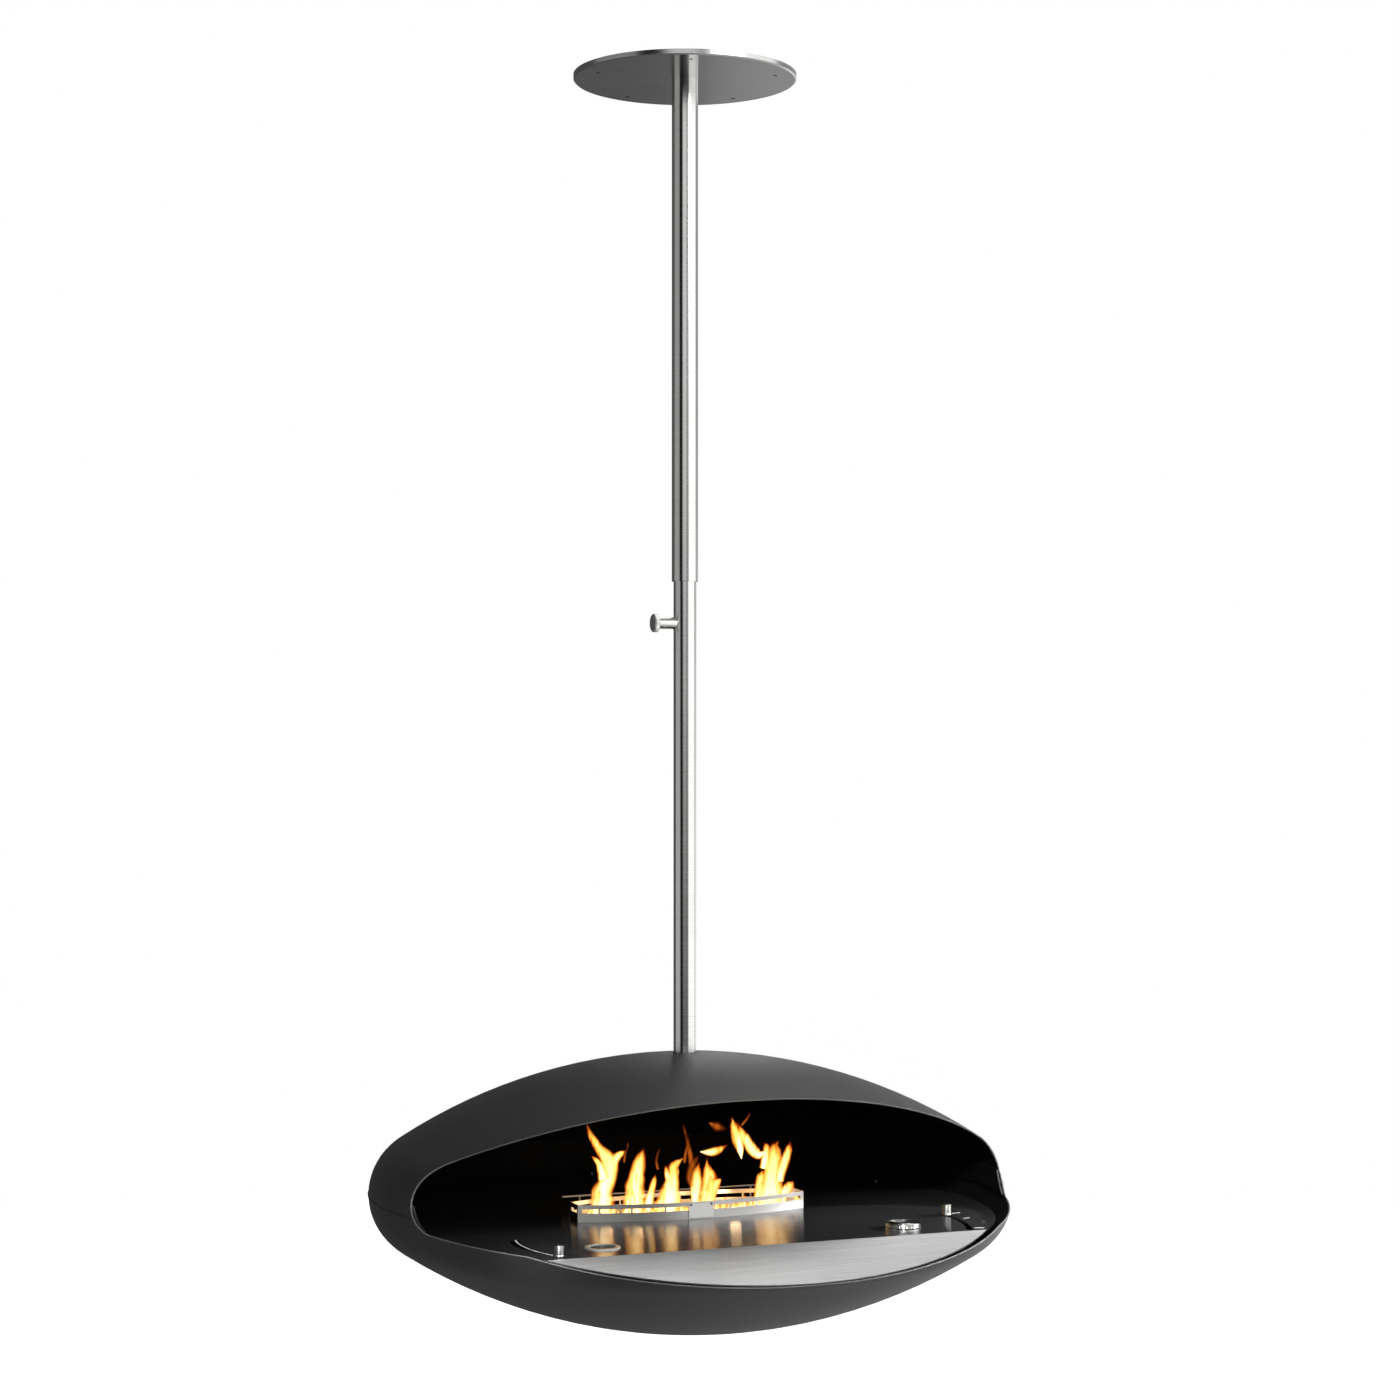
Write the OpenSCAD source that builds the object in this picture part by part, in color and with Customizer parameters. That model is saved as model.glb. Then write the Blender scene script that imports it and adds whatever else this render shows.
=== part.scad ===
// Hanging hearth: a round lens-shaped steel pod on a telescopic ceiling pole,
// with an ethanol burner, two shutter levers and a filler cap on its floor.
// Millimetres. Origin: centre of the ceiling plate's top face. +Z up, the mouth faces -Y.

/* [Ceiling mount] */
// Diameter of the ceiling plate
plate_d = 352; // [340:1:380]
// Thickness of the ceiling plate
plate_t = 9; // [8:0.5:12]
// Pitch circle of the ceiling screws
screw_pcd = 292; // [280:1:300]
// Diameter of the holes for the ceiling screws
screw_hole_d = 6.5; // [5:0.5:8]

/* [Pole] */
// Outer diameter of the cover sleeve
sleeve_d = 41.5; // [41:0.5:43]
// Outer diameter of the drop tube
drop_tube_d = 36; // [35.8:0.1:36.2]
// Outer diameter of the core tube
core_d = 30; // [29.8:0.1:30.2]
// Height of the sleeve's lower end above the seam of the pod
sleeve_end_z = 950; // [900:10:1000]
// Height of the clamp knob above the seam of the pod
knob_z = 884; // [840:1:884]
// Distance from the ceiling down to the seam of the pod
drop = 1750; // [1700:10:1900]

/* [Pod] */
// Outer radius of the pod
pod_r = 500; // [495:1:510]
// Outer radius of the shallow dome
dome_r = 844; // [820:1:900]
// Outer radius of the rim's round edge
edge_r = 90; // [85:1:95]
// Thickness of the shells
shell_t = 2.5; // [2:0.5:3]
// How far the pole stands behind the pod's middle
pole_back = 24; // [20:1:34]

/* [Hearth] */
// Height of the floor's top face below the seam
floor_depth = 38; // [36:1:40]
// Radius of the floor
floor_r = 474; // [465:1:478]
// Distance of the fold line in front of the pod's middle
fold_y = 309; // [300:1:315]
// Slope of the apron in degrees
apron_slope = 12; // [11:0.5:13]
// Distance of the filler from the middle line
filler_x = 244; // [240:1:246]

/* [Burner] */
// Length of the burner's rim
rim_l = 378; // [360:2:384]
// Width of the rim in the middle
rim_w = 107; // [104:1:110]
// Width of the rim at its ends
rim_end_w = 35; // [32:1:44]
// Height of the rim
rim_h = 26; // [24:1:28]

/* [Levers] */
// Distance of each lever's pivot from the middle line
pivot_x = 110; // [108:1:112]
// Distance of the lever pivots in front of the pod's middle
pivot_y = 187; // [185:1:189]
// Radius of the right knob's path
lever_r = 250; // [240:1:252]
// Radius of the left knob's path
left_lever_r = 234; // [230:1:250]

/* [Hidden] */
$fn = 96;
eps = 0.01;
wide = 1200;

pod_z = -drop;
tube_wall = 2;
sleeve_wall = 1.5;
core_wall = 2.5;
sleeve_l = drop - plate_t - sleeve_end_z;
core_l = 1221;
drop_tube_top = 1400;
drop_tube_end = 196;
socket_l = 55;

// Shell profile: dome arc and edge arc meet on one tangent line
edge_c = pod_r - edge_r;
dome_drop = sqrt(pow(dome_r - edge_r, 2) - edge_c * edge_c);
meet_a = atan2(dome_drop, edge_c);
seam_gap = 1.05;

// Mouth outline in the side view: two straight edges and a round nose
nose_r = 56;
nose_y = -163;
nose_z = 37;
upper_slope = 33;
lower_slope = 3.8;
lip_slope = 16.5;
lip_fold_y = -322;

// Heights inside the pod, measured from the seam
floor_top = -floor_depth;
floor_t = 3;
floor_bot = floor_top - floor_t;
blade_t = 2;
blade_top = floor_bot - 3.5;
blade_bot = blade_top - blade_t;
flange_top = blade_bot - 1.6;
flange_t = 2;
lever_top = floor_bot - 13;
lever_t = 4;
hub_top_z = 190;
hub_plate_t = 12;
hub_low_z = hub_top_z - 2.2 - hub_plate_t;
washer_t = 2;

// Burner outline: two arcs and two straight ends
rim_t = 1.5;
rim_sag = (rim_w - rim_end_w) / 2;
rim_arc_r = (rim_l * rim_l / 4 + rim_sag * rim_sag) / (2 * rim_sag);
rim_band = 6.3;
rim_x = -4;
rim_slots = [[-183, -158.75], [-156.25, -110.75], [-108.25, -58.75], [-56.25, -8], [8, 48.25],
    [50.75, 96.25], [98.75, 144.25], [146.75, 183]];
slot_l = 300;
slot_w = 44;
blade_l = 316;
blade_w = 26;
tank_l = 296;
tank_w = 84;
tank_h = 100;

// Lever travel: angles of the knobs seen from their pivots
rear_a = 10.8;
front_a = -26.7;
mid_a = (rear_a + front_a) / 2;
right_rest_a = 3.5;
left_slot_a = 14;
crank_l = 36;
crank_pin_d = 8;
stroke_per_deg = 0.616;
rear_open_y = 23.3;
front_rest_y = -23.3 - blade_w + (rear_a - right_rest_a) * stroke_per_deg;
elbow_r = 200;
elbow_a = 22;

// The filler on the right, the open port on the left, and the filler's cap
filler_y = -255;
port_x = -235.5;
port_y = -243;
port_d = 54;
neck_d = 44;
cap_seat = 3;
cap_h = 6.8;

// Knobs on the levers' ends, and how high each stands over the floor
knob_d = 14;
knob_h = 16;
left_lift = 1;
right_lift = 1.5;

steel = [0.72, 0.72, 0.71];
dark_steel = [0.45, 0.45, 0.46];
matte_black = [0.07, 0.07, 0.07];
gloss_black = [0.03, 0.03, 0.03];
wool_white = [0.86, 0.84, 0.8];
brass_tone = [0.7, 0.58, 0.32];
rubber_black = [0.1, 0.1, 0.1];

// Places its children in the pod's own frame: origin on the pod's axis at the seam
module in_pod() {
    translate([0, -pole_back, pod_z]) children();
}

// Places its children in the pod's frame on the pole's axis
module on_pole() {
    translate([0, 0, pod_z]) children();
}

module ring(r_out, r_in, h) {
    difference() {
        cylinder(r = r_out, h = h);
        translate([0, 0, -1]) cylinder(r = r_in, h = h + 2);
    }
}

// Half section of one dished head, shrunk by t all round, above the seam
module dish_section(t) {
    meet_r = edge_c + (edge_r - t) * cos(meet_a);
    intersection() {
        translate([0, -dome_drop]) circle(r = dome_r - t, $fn = 360);
        square([meet_r, pod_r]);
    }
    intersection() {
        translate([edge_c, 0]) circle(r = edge_r - t, $fn = 180);
        translate([meet_r - eps, 0]) square([pod_r, pod_r]);
    }
}

// Solid dished head without wall, shrunk by t, from height z_low up
module dish_solid(t) {
    rotate_extrude($fn = 180) dish_section(t);
}

module dish_shell() {
    rotate_extrude($fn = 180) difference() {
        dish_section(0);
        dish_section(shell_t);
        translate([-1, -1]) square([pod_r + 2, 1 + seam_gap]);
    }
}

// Space in front of the mouth above the seam: a slope that ends in a round nose, which is
// a little larger than the slope's distance so that the two cross cleanly
module mouth_cut() {
    nose_more = 0.3;
    translate([-wide / 2, nose_y, nose_z]) {
        rotate([-upper_slope, 0, 0]) translate([0, -wide / 2, -wide / 2])
            cube([wide, wide / 2, wide / 2 + nose_r]);
        rotate([0, 90, 0]) cylinder(r = nose_r + nose_more, h = wide);
    }
}

// Space in front of the mouth below the seam: the same nose, then a lip that dips towards the front
module lip_cut() {
    low_a = -90 + lower_slope;
    nose = [for (i = [0:8]) let (a = low_a * i / 8)
        [nose_y + nose_r * cos(a), nose_z + nose_r * sin(a)]];
    fold_z = nose[8][1] - (nose[8][0] - lip_fold_y) * tan(lower_slope);
    front = -pod_r - 60;
    rotate([90, 0, 90]) translate([0, 0, -wide / 2]) linear_extrude(wide) polygon(concat(
        [[front, nose_z]], nose,
        [[lip_fold_y, fold_z], [front, fold_z - (lip_fold_y - front) * tan(lip_slope)]]));
}

// Burner outline shrunk by t
module lens(t) {
    off = rim_arc_r - rim_w / 2;
    intersection() {
        translate([0, off]) circle(r = rim_arc_r - t, $fn = 360);
        translate([0, -off]) circle(r = rim_arc_r - t, $fn = 360);
        square([rim_l - 2 * t, rim_w], center = true);
    }
}

module at_four(x, y) {
    for (sx = [-1, 1], sy = [-1, 1]) translate([sx * x, sy * y, 0]) children();
}

// ---- ceiling mount ----

module ceiling_plate() color(steel) {
    bevel = 2;
    difference() {
        rotate_extrude($fn = 180) polygon([
            [0, 0], [plate_d / 2, 0], [plate_d / 2, -plate_t + bevel],
            [plate_d / 2 - bevel, -plate_t], [0, -plate_t]]);
        for (i = [0:4]) rotate(i * 72 - 36) translate([screw_pcd / 2, 0, -plate_t - 1])
            cylinder(d = screw_hole_d, h = plate_t + 2, $fn = 48);
    }
}

module tube_socket() color(dark_steel) {
    socket_d = sleeve_d - 2 * sleeve_wall - 0.4;
    difference() {
        translate([0, 0, -plate_t - socket_l]) ring(socket_d / 2, core_d / 2, socket_l);
        for (i = [0:2]) rotate(i * 120) translate([0, 0, -plate_t - 30]) rotate([0, 90, 0])
            cylinder(d = 5, h = socket_d, $fn = 32);
    }
}

module socket_screws() color(dark_steel) {
    for (i = [0:2]) rotate(i * 120) translate([core_d / 2, 0, -plate_t - 30]) rotate([0, 90, 0])
        difference() {
            cylinder(d = 5, h = 3.4, $fn = 32);
            translate([0, 0, 1.8]) cylinder(d = 2.9, h = 3, $fn = 6);
        }
}

module cover_sleeve() color(steel) {
    translate([0, 0, -plate_t - sleeve_l]) ring(sleeve_d / 2, sleeve_d / 2 - sleeve_wall, sleeve_l);
}

module core_tube() color(steel) {
    translate([0, 0, -plate_t - core_l]) ring(core_d / 2, core_d / 2 - core_wall, core_l);
}

module core_bush() color(wool_white) {
    translate([0, 0, -plate_t - core_l]) ring(drop_tube_d / 2 - tube_wall - 0.1, core_d / 2, 30);
}

// ---- sliding drop tube ----

module drop_tube() color(steel) on_pole() {
    difference() {
        translate([0, 0, drop_tube_end])
            ring(drop_tube_d / 2, drop_tube_d / 2 - tube_wall, drop_tube_top - drop_tube_end);
        translate([0, 0, knob_z]) rotate([0, -90, 0]) cylinder(d = 10.1, h = drop_tube_d, $fn = 48);
    }
}

module top_bush() color(wool_white) on_pole() {
    translate([0, 0, drop_tube_top - 40])
        ring(sleeve_d / 2 - sleeve_wall - 0.15, drop_tube_d / 2, 40);
}

module clamp_boss() color(steel) on_pole() {
    translate([0, 0, knob_z]) rotate([0, -90, 0]) difference() {
        translate([0, 0, 10]) cylinder(d = 18.5, h = 35.5, $fn = 64);
        cylinder(d = 10.1, h = 60, $fn = 48);
        rotate([0, 90, 0]) cylinder(d = drop_tube_d, h = 60, center = true);
    }
}

module swivel_spindle() color(steel) on_pole() {
    plug_l = 44;
    translate([0, 0, hub_top_z]) difference() {
        union() {
            cylinder(d = drop_tube_d + 8, h = drop_tube_end - hub_top_z);
            cylinder(d = drop_tube_d - 2 * tube_wall, h = plug_l);
            translate([0, 0, -48]) cylinder(d = 20, h = 49);
        }
        translate([0, 0, -43]) rotate([0, 90, 0]) cylinder(d = 4, h = 60, center = true, $fn = 32);
    }
}

module upper_washer() color(brass_tone) on_pole() {
    translate([0, 0, hub_top_z - washer_t]) ring(22, 10, washer_t);
}

module lower_washer() color(brass_tone) on_pole() {
    translate([0, 0, hub_low_z - 0.2 - washer_t]) ring(22, 10, washer_t);
}

module hanger_nut() color(dark_steel) on_pole() {
    translate([0, 0, hub_low_z - 0.2 - washer_t - 16]) difference() {
        cylinder(d = 36, h = 16, $fn = 6);
        translate([0, 0, -1]) cylinder(d = 20, h = 18);
    }
}

module nut_pin() color(steel) on_pole() {
    translate([0, 0, hub_top_z - 43]) rotate([0, 90, 0])
        cylinder(d = 4, h = 34, center = true, $fn = 32);
}

module clamp_screw() color(dark_steel) on_pole() {
    translate([-core_d / 2 - 0.2, 0, knob_z]) rotate([0, -90, 0]) cylinder(d = 10, h = 31, $fn = 48);
}

module knob_head() color(dark_steel) on_pole() {
    teeth = 30;
    translate([-core_d / 2 - 31.2, 0, knob_z]) rotate([0, -90, 0]) difference() {
        rotate_extrude() polygon([[0, 0], [14, 0], [14.5, 0.6], [14.5, 7], [13, 8.5], [0, 8.5]]);
        for (i = [0:teeth - 1]) rotate(i * 360 / teeth) translate([15, 0, -1])
            cylinder(d = 2, h = 12, $fn = 16);
    }
}

// ---- pod shells and hanging hub ----

module upper_shell() color(matte_black) in_pod() {
    difference() {
        dish_shell();
        mouth_cut();
        translate([0, pole_back, 0]) cylinder(d = drop_tube_d + 1.6, h = 400);
        seam_screw_places() translate([0, 0, 1.6]) cylinder(d = 4, h = 4.8, $fn = 32);
    }
}

module lower_shell() color(matte_black) in_pod() {
    difference() {
        mirror([0, 0, 1]) dish_shell();
        lip_cut();
    }
}

// Seven places on the inside of the upper shell, just above the seam, pointing outwards
module seam_screw_places() {
    for (i = [0:6]) rotate(i * 30) translate([pod_r - shell_t - 5.2, 0, 12]) rotate([0, 90, 0])
        children();
}

module seam_ring() color(matte_black) in_pod() {
    band_r = pod_r - shell_t - 2.2;
    difference() {
        union() {
            translate([0, 0, -16]) ring(band_r, band_r - 3, 34);
            translate([0, 0, -1]) ring(pod_r + 1, band_r - 1, 2);
        }
        mouth_cut();
        lip_cut();
        seam_screw_places() translate([0, 0, -4]) cylinder(d = 4, h = 12, $fn = 32);
    }
}

module seam_screws() color(dark_steel) in_pod() {
    seam_screw_places() {
        cylinder(d = 4, h = 6.3, $fn = 32);
        translate([0, 0, -2.25]) cylinder(d = 7.6, h = 2.2, $fn = 32);
    }
}

module hub_housing() color(dark_steel) in_pod() {
    intersection() {
        dish_solid(shell_t + 0.05);
        translate([0, pole_back, hub_low_z]) difference() {
            cylinder(r = 75, h = 60);
            translate([0, 0, hub_plate_t]) cylinder(r = 54, h = 60);
            translate([0, 0, -1]) cylinder(d = 20.1, h = 40);
            hub_stud_places() translate([0, 0, -1]) cylinder(d = 6.4, h = 80, $fn = 32);
        }
    }
}

module hub_stud_places() {
    for (i = [0:5]) rotate(i * 60) translate([64.5, 0, 0]) children();
}

module hub_studs() color(steel) in_pod() {
    intersection() {
        dish_solid(shell_t + 0.05);
        translate([0, pole_back, hub_low_z - 9]) hub_stud_places() cylinder(d = 6, h = 80, $fn = 32);
    }
}

module hub_nuts() color(steel) in_pod() {
    translate([0, pole_back, hub_low_z - 5]) hub_stud_places() difference() {
        cylinder(d = 11.5, h = 5, $fn = 6);
        translate([0, 0, -1]) cylinder(d = 6, h = 7, $fn = 32);
    }
}

// ---- floor and apron ----

// Arc slot of radius r that a knob's stem runs in, side = 1 on the right and -1 on the left,
// up to the angle last. Its round ends are slightly wider than the slot.
module knob_slot(side, r, last) {
    slot_half = 4.5;
    end_r = slot_half + 0.4;
    translate([side * pivot_x, -pivot_y, floor_bot - 1]) mirror([side < 0 ? 1 : 0, 0, 0]) {
        intersection() {
            ring(r + slot_half, r - slot_half, floor_t + 2);
            linear_extrude(floor_t + 2) polygon([[0, 0],
                [400 * cos(front_a), 400 * sin(front_a)], [400 * cos(last), 400 * sin(last)]]);
        }
        for (a = [front_a, last]) rotate(a) translate([r, 0, 0])
            cylinder(r = end_r, h = floor_t + 2, $fn = 48);
    }
}

module bracket_places() {
    for (a = [-32, 25, 90, 155, 212]) rotate(a) children();
}

module hearth_floor() color(gloss_black) in_pod() {
    difference() {
        translate([0, 0, floor_bot]) cylinder(r = floor_r, h = floor_t, $fn = 180);
        translate([-wide / 2, -fold_y - wide, floor_bot - 1]) cube([wide, wide, floor_t + 2]);
        translate([-slot_l / 2, -slot_w / 2, floor_bot - 1]) cube([slot_l, slot_w, floor_t + 2]);
        knob_slot(1, lever_r, rear_a);
        knob_slot(-1, left_lever_r, left_slot_a);
        for (place = [[filler_x, filler_y], [port_x, port_y]])
            translate([place[0], place[1], floor_bot - 1]) cylinder(d = neck_d, h = floor_t + 2);
        bracket_places() translate([455, 0, floor_bot - 1]) cylinder(d = 5.2, h = 9, $fn = 32);
    }
}

module floor_brackets() color(matte_black) in_pod() {
    bracket_places() translate([0, -14, 0]) difference() {
        union() {
            translate([441, 0, floor_bot - 3]) cube([26, 28, 3]);
            translate([464, 0, floor_bot - 30]) cube([3, 28, 30]);
            translate([464, 0, floor_bot - 30]) cube([30, 28, 3]);
        }
        translate([455, 14, floor_bot - 4]) cylinder(d = 5, h = 5, $fn = 32);
        translate([0, 14, 0]) difference() {
            cylinder(r = 600, h = 300, center = true);
            mirror([0, 0, 1]) dish_solid(shell_t + 0.05);
        }
    }
}

module floor_screws() color(gloss_black) in_pod() {
    bracket_places() translate([455, 0, floor_top]) {
        translate([0, 0, -floor_t - 6]) cylinder(d = 5, h = floor_t + 6, $fn = 32);
        difference() {
            cylinder(d = 9, h = 2, $fn = 48);
            translate([0, 0, 1]) cylinder(d = 3.4, h = 3, $fn = 6);
        }
    }
}

module apron_plate() color(steel) in_pod() {
    apron_r = 492;
    apron_middle = [7, 36];
    intersection() {
        translate([apron_middle[0], apron_middle[1], -200]) cylinder(r = apron_r, h = 300, $fn = 180);
        translate([0, -fold_y - 0.5, floor_top]) rotate([apron_slope, 0, 0])
            translate([-wide / 2, -300, -2]) cube([wide, 300, 2]);
    }
}

module apron_brackets() color(matte_black) in_pod() {
    for (x = [-190, 0, 190]) translate([x - 12, -fold_y, 0]) {
        translate([0, -3, floor_bot - 2]) cube([24, 43, 2]);
        translate([0, -0.5, floor_top]) rotate([apron_slope, 0, 0])
            translate([0, -40, -4.05]) cube([24, 39.3, 2]);
    }
}

// ---- burner ----

// Places its children in the frame of the burner's rim
module in_rim() {
    in_pod() translate([rim_x, 0, 0]) children();
}

// Slots in the rim: a row in the front wall, the same row turned half round in the back wall,
// and one in each end
module rim_windows() {
    low = floor_top + rim_h - 2 * rim_band;
    for (turn = [0, 180]) rotate(turn) {
        for (x = rim_slots) translate([x[0], -rim_w, low]) cube([x[1] - x[0], rim_w, rim_band]);
        translate([184, -13, low]) cube([16, 26, rim_band]);
    }
}

module burner_rim() color(steel) in_rim() {
    difference() {
        translate([0, 0, floor_top]) linear_extrude(rim_h) difference() {
            lens(0);
            lens(rim_t);
        }
        rim_windows();
        rivet_places() cylinder(d = 2.4, h = 6, $fn = 24);
    }
}

module burner_deck() color(dark_steel) in_pod() {
    translate([0, 0, floor_top]) linear_extrude(1.5) difference() {
        translate([rim_x, 0]) lens(rim_t + 0.1);
        square([slot_l, slot_w], center = true);
    }
}

module name_plate() color(steel) in_rim() {
    difference() {
        translate([-20.5, -rim_w / 2 - 1.6, floor_top + 2]) cube([41, 1, 22]);
        rivet_places() cylinder(d = 2.4, h = 6, $fn = 24);
    }
}

// Two places just inside the front wall of the rim, pointing to the front
module rivet_places() {
    for (x = [-17, 17]) translate([x, -rim_w / 2 + 3, floor_top + rim_h - 4]) rotate([90, 0, 0])
        children();
}

module plate_rivets() color(dark_steel) in_rim() {
    rivet_places() {
        cylinder(d = 2.4, h = 4.6, $fn = 24);
        translate([0, 0, 4.6]) cylinder(d = 3.6, h = 0.5, $fn = 32);
    }
}

module burner_tank() color(steel) in_pod() {
    wall = 1.5;
    difference() {
        union() {
            translate([-200, -55, flange_top - flange_t]) cube([400, 110, flange_t]);
            translate([-tank_l / 2 - wall, -tank_w / 2 - wall, flange_top - tank_h])
                cube([tank_l + 2 * wall, tank_w + 2 * wall, tank_h]);
        }
        translate([-tank_l / 2, -tank_w / 2, flange_top - tank_h + wall])
            cube([tank_l, tank_w, tank_h + 10]);
        at_four(190, 38) translate([0, 0, flange_top - 10]) cylinder(d = 5.2, h = 20, $fn = 32);
        feed_line() cylinder(d = 14, h = 260, $fn = 48);
    }
}

module tank_spacers() color(dark_steel) in_pod() {
    at_four(190, 38) translate([0, 0, flange_top]) ring(4.5, 2.6, floor_bot - flange_top);
}

module tank_studs() color(steel) in_pod() {
    at_four(190, 38) translate([0, 0, flange_top - 10])
        cylinder(d = 5, h = 10 + floor_bot - flange_top, $fn = 32);
}

module tank_nuts() color(steel) in_pod() {
    at_four(190, 38) translate([0, 0, flange_top - flange_t - 4]) difference() {
        cylinder(d = 9.2, h = 4, $fn = 6);
        translate([0, 0, -1]) cylinder(d = 5, h = 6, $fn = 32);
    }
}

module ceramic_wool() color(wool_white) in_pod() {
    translate([-tank_l / 2 + 2, -tank_w / 2 + 2, flange_top - tank_h + 2])
        cube([tank_l - 4, tank_w - 4, tank_h - 12]);
}

module shutter_rails() color(dark_steel) in_pod() {
    for (x = [-154, 150]) translate([x, -54, flange_top]) cube([4, 108, 1.4]);
}

// ---- filler, port, guard rod ----

// Runs along the feed pipe from the filler neck down into the tank
module feed_line() {
    from = [filler_x - 12, filler_y + 12, floor_top - 52];
    to = [130, -30, flange_top - tank_h + 16];
    run = to - from;
    flat = norm([run[0], run[1]]);
    translate(from) rotate([0, 90 - atan2(run[2], flat), atan2(run[1], run[0])]) children();
}

module filler_neck() color(steel) in_pod() {
    difference() {
        union() {
            translate([filler_x, filler_y, floor_top]) ring(port_d / 2, neck_d / 2 - 2, 2);
            translate([filler_x, filler_y, floor_top - 62]) ring(neck_d / 2, neck_d / 2 - 2, 62);
            translate([filler_x, filler_y, floor_top - 64]) cylinder(d = neck_d, h = 2);
        }
        feed_line() cylinder(d = 14, h = 60, $fn = 48);
    }
}

module feed_pipe() color(steel) in_pod() {
    difference() {
        feed_line() translate([0, 0, 4]) ring(7, 5.5, 243);
        translate([filler_x, filler_y, floor_top - 64]) cylinder(d = neck_d - 4, h = 70);
        translate([-tank_l / 2, -tank_w / 2, flange_top - tank_h]) cube([tank_l, tank_w, tank_h]);
    }
}

module port_ring() color(steel) in_pod() {
    translate([port_x, port_y, floor_top]) rotate_extrude()
        polygon([[neck_d / 2 - 2, 0], [port_d / 2, 0], [port_d / 2, 1], [port_d / 2 - 1.5, 2.4],
            [neck_d / 2 - 1, 2.4], [neck_d / 2 - 2, 1.4]]);
}

module port_cup() color(dark_steel) in_pod() {
    translate([port_x, port_y, floor_top - 42]) difference() {
        cylinder(d = neck_d, h = 42);
        translate([0, 0, 2]) cylinder(d = neck_d - 4, h = 50);
    }
}

module rear_guard_rod() color(steel) in_rim() {
    rod_r = 1.5;
    rod_half = 175;
    post_x = 146;
    rod_z = floor_top + 22;
    translate([-rod_half, 95, rod_z]) rotate([0, 90, 0]) cylinder(r = rod_r, h = 2 * rod_half, $fn = 32);
    for (x = [-post_x, post_x]) translate([x, 95, floor_top])
        cylinder(r = rod_r - 0.1, h = rod_z - floor_top, $fn = 32);
}

// ---- levers and shutters ----

module lever_pivots() color(steel) in_pod() {
    for (side = [-1, 1]) translate([side * pivot_x, -pivot_y, floor_bot]) {
        translate([0, 0, -24]) cylinder(d = 12, h = 24);
        translate([0, 0, -12.8]) cylinder(d = 18, h = 12.8);
    }
}

module pivot_clips() color(dark_steel) in_pod() {
    for (side = [-1, 1])
        translate([side * pivot_x, -pivot_y, floor_bot - 20]) ring(9, 6, 1.5);
}

// One lever drawn for the right side, its knob at radius r and angle a, held lift over the floor,
// and its crank opposite
module lever(r, a, lift) {
    boss_d = 20;
    elbow = [elbow_r * cos(elbow_a), elbow_r * sin(elbow_a)];
    knob = [r, 0];
    difference() {
        union() {
            translate([0, 0, lever_top - lever_t]) {
                cylinder(d = 28, h = lever_t);
                rotate(a) {
                    bar([0, 0], elbow, 9, 0.3);
                    bar(elbow, knob, 0, 0.5);
                    translate(elbow) cylinder(d = boss_d, h = lever_t);
                    translate(knob) cylinder(d = boss_d, h = lever_t);
                }
                rotate(a - mid_a + 180) {
                    bar([0, 0], [crank_l, 0], 9, 0.3);
                    translate([crank_l, 0]) cylinder(d = boss_d, h = lever_t);
                }
            }
            rotate(a - mid_a + 180) translate([crank_l, 0, lever_top - 1])
                cylinder(d = crank_pin_d, h = blade_top + 1 - lever_top + 1);
            rotate(a) translate([r, 0, lever_top - 1])
                cylinder(d = 6, h = floor_top + lift - lever_top + 1);
        }
        translate([0, 0, lever_top - lever_t - 1]) cylinder(d = 12.1, h = lever_t + 2);
    }
}

// Flat bar between two points, which starts the length skip after the first and is thinner than
// the discs it joins by the step on each face
module bar(from, to, skip, step) {
    bar_w = 14;
    run = to - from;
    translate(from) rotate(atan2(run[1], run[0])) translate([skip, -bar_w / 2, step])
        cube([norm(run) - skip, bar_w, lever_t - 2 * step]);
}

module lever_knob(r, a, lift) {
    knob_r = knob_d / 2;
    rotate(a) translate([r, 0, floor_top + lift]) rotate_extrude() polygon([
        [0, 0], [knob_r - 0.6, 0], [knob_r, 0.6], [knob_r, knob_h - 0.8], [knob_r - 0.8, knob_h],
        [0, knob_h]]);
}

module left_place() {
    in_pod() translate([-pivot_x, -pivot_y, 0]) mirror([1, 0, 0]) children();
}

module right_place() {
    in_pod() translate([pivot_x, -pivot_y, 0]) children();
}

module left_lever() color(steel) left_place() lever(left_lever_r, front_a, left_lift);
module left_knob() color(steel) left_place() lever_knob(left_lever_r, front_a, left_lift);
module right_lever() color(steel) right_place() lever(lever_r, right_rest_a, right_lift);
module right_knob() color(steel) right_place() lever_knob(lever_r, right_rest_a, right_lift);

// Cross slot that a crank pin works in, where the crank points straight across at half travel
module pin_slot(x, y) {
    slot_y = crank_pin_d + 0.9;
    slot_x = 16;
    translate([x - slot_x / 2, y - slot_y / 2, blade_bot - 1]) cube([slot_x, slot_y, blade_t + 2]);
}

module front_shutter() color(dark_steel) in_pod() {
    pin_y = -pivot_y - crank_l * sin(right_rest_a - mid_a);
    difference() {
        translate([0, 0, blade_bot]) {
            translate([-blade_l / 2, front_rest_y, 0]) cube([blade_l, blade_w, blade_t]);
            translate([60, pin_y - 15, 0]) cube([30, front_rest_y + 1 - pin_y + 15, blade_t]);
        }
        pin_slot(75, pin_y);
    }
}

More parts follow.
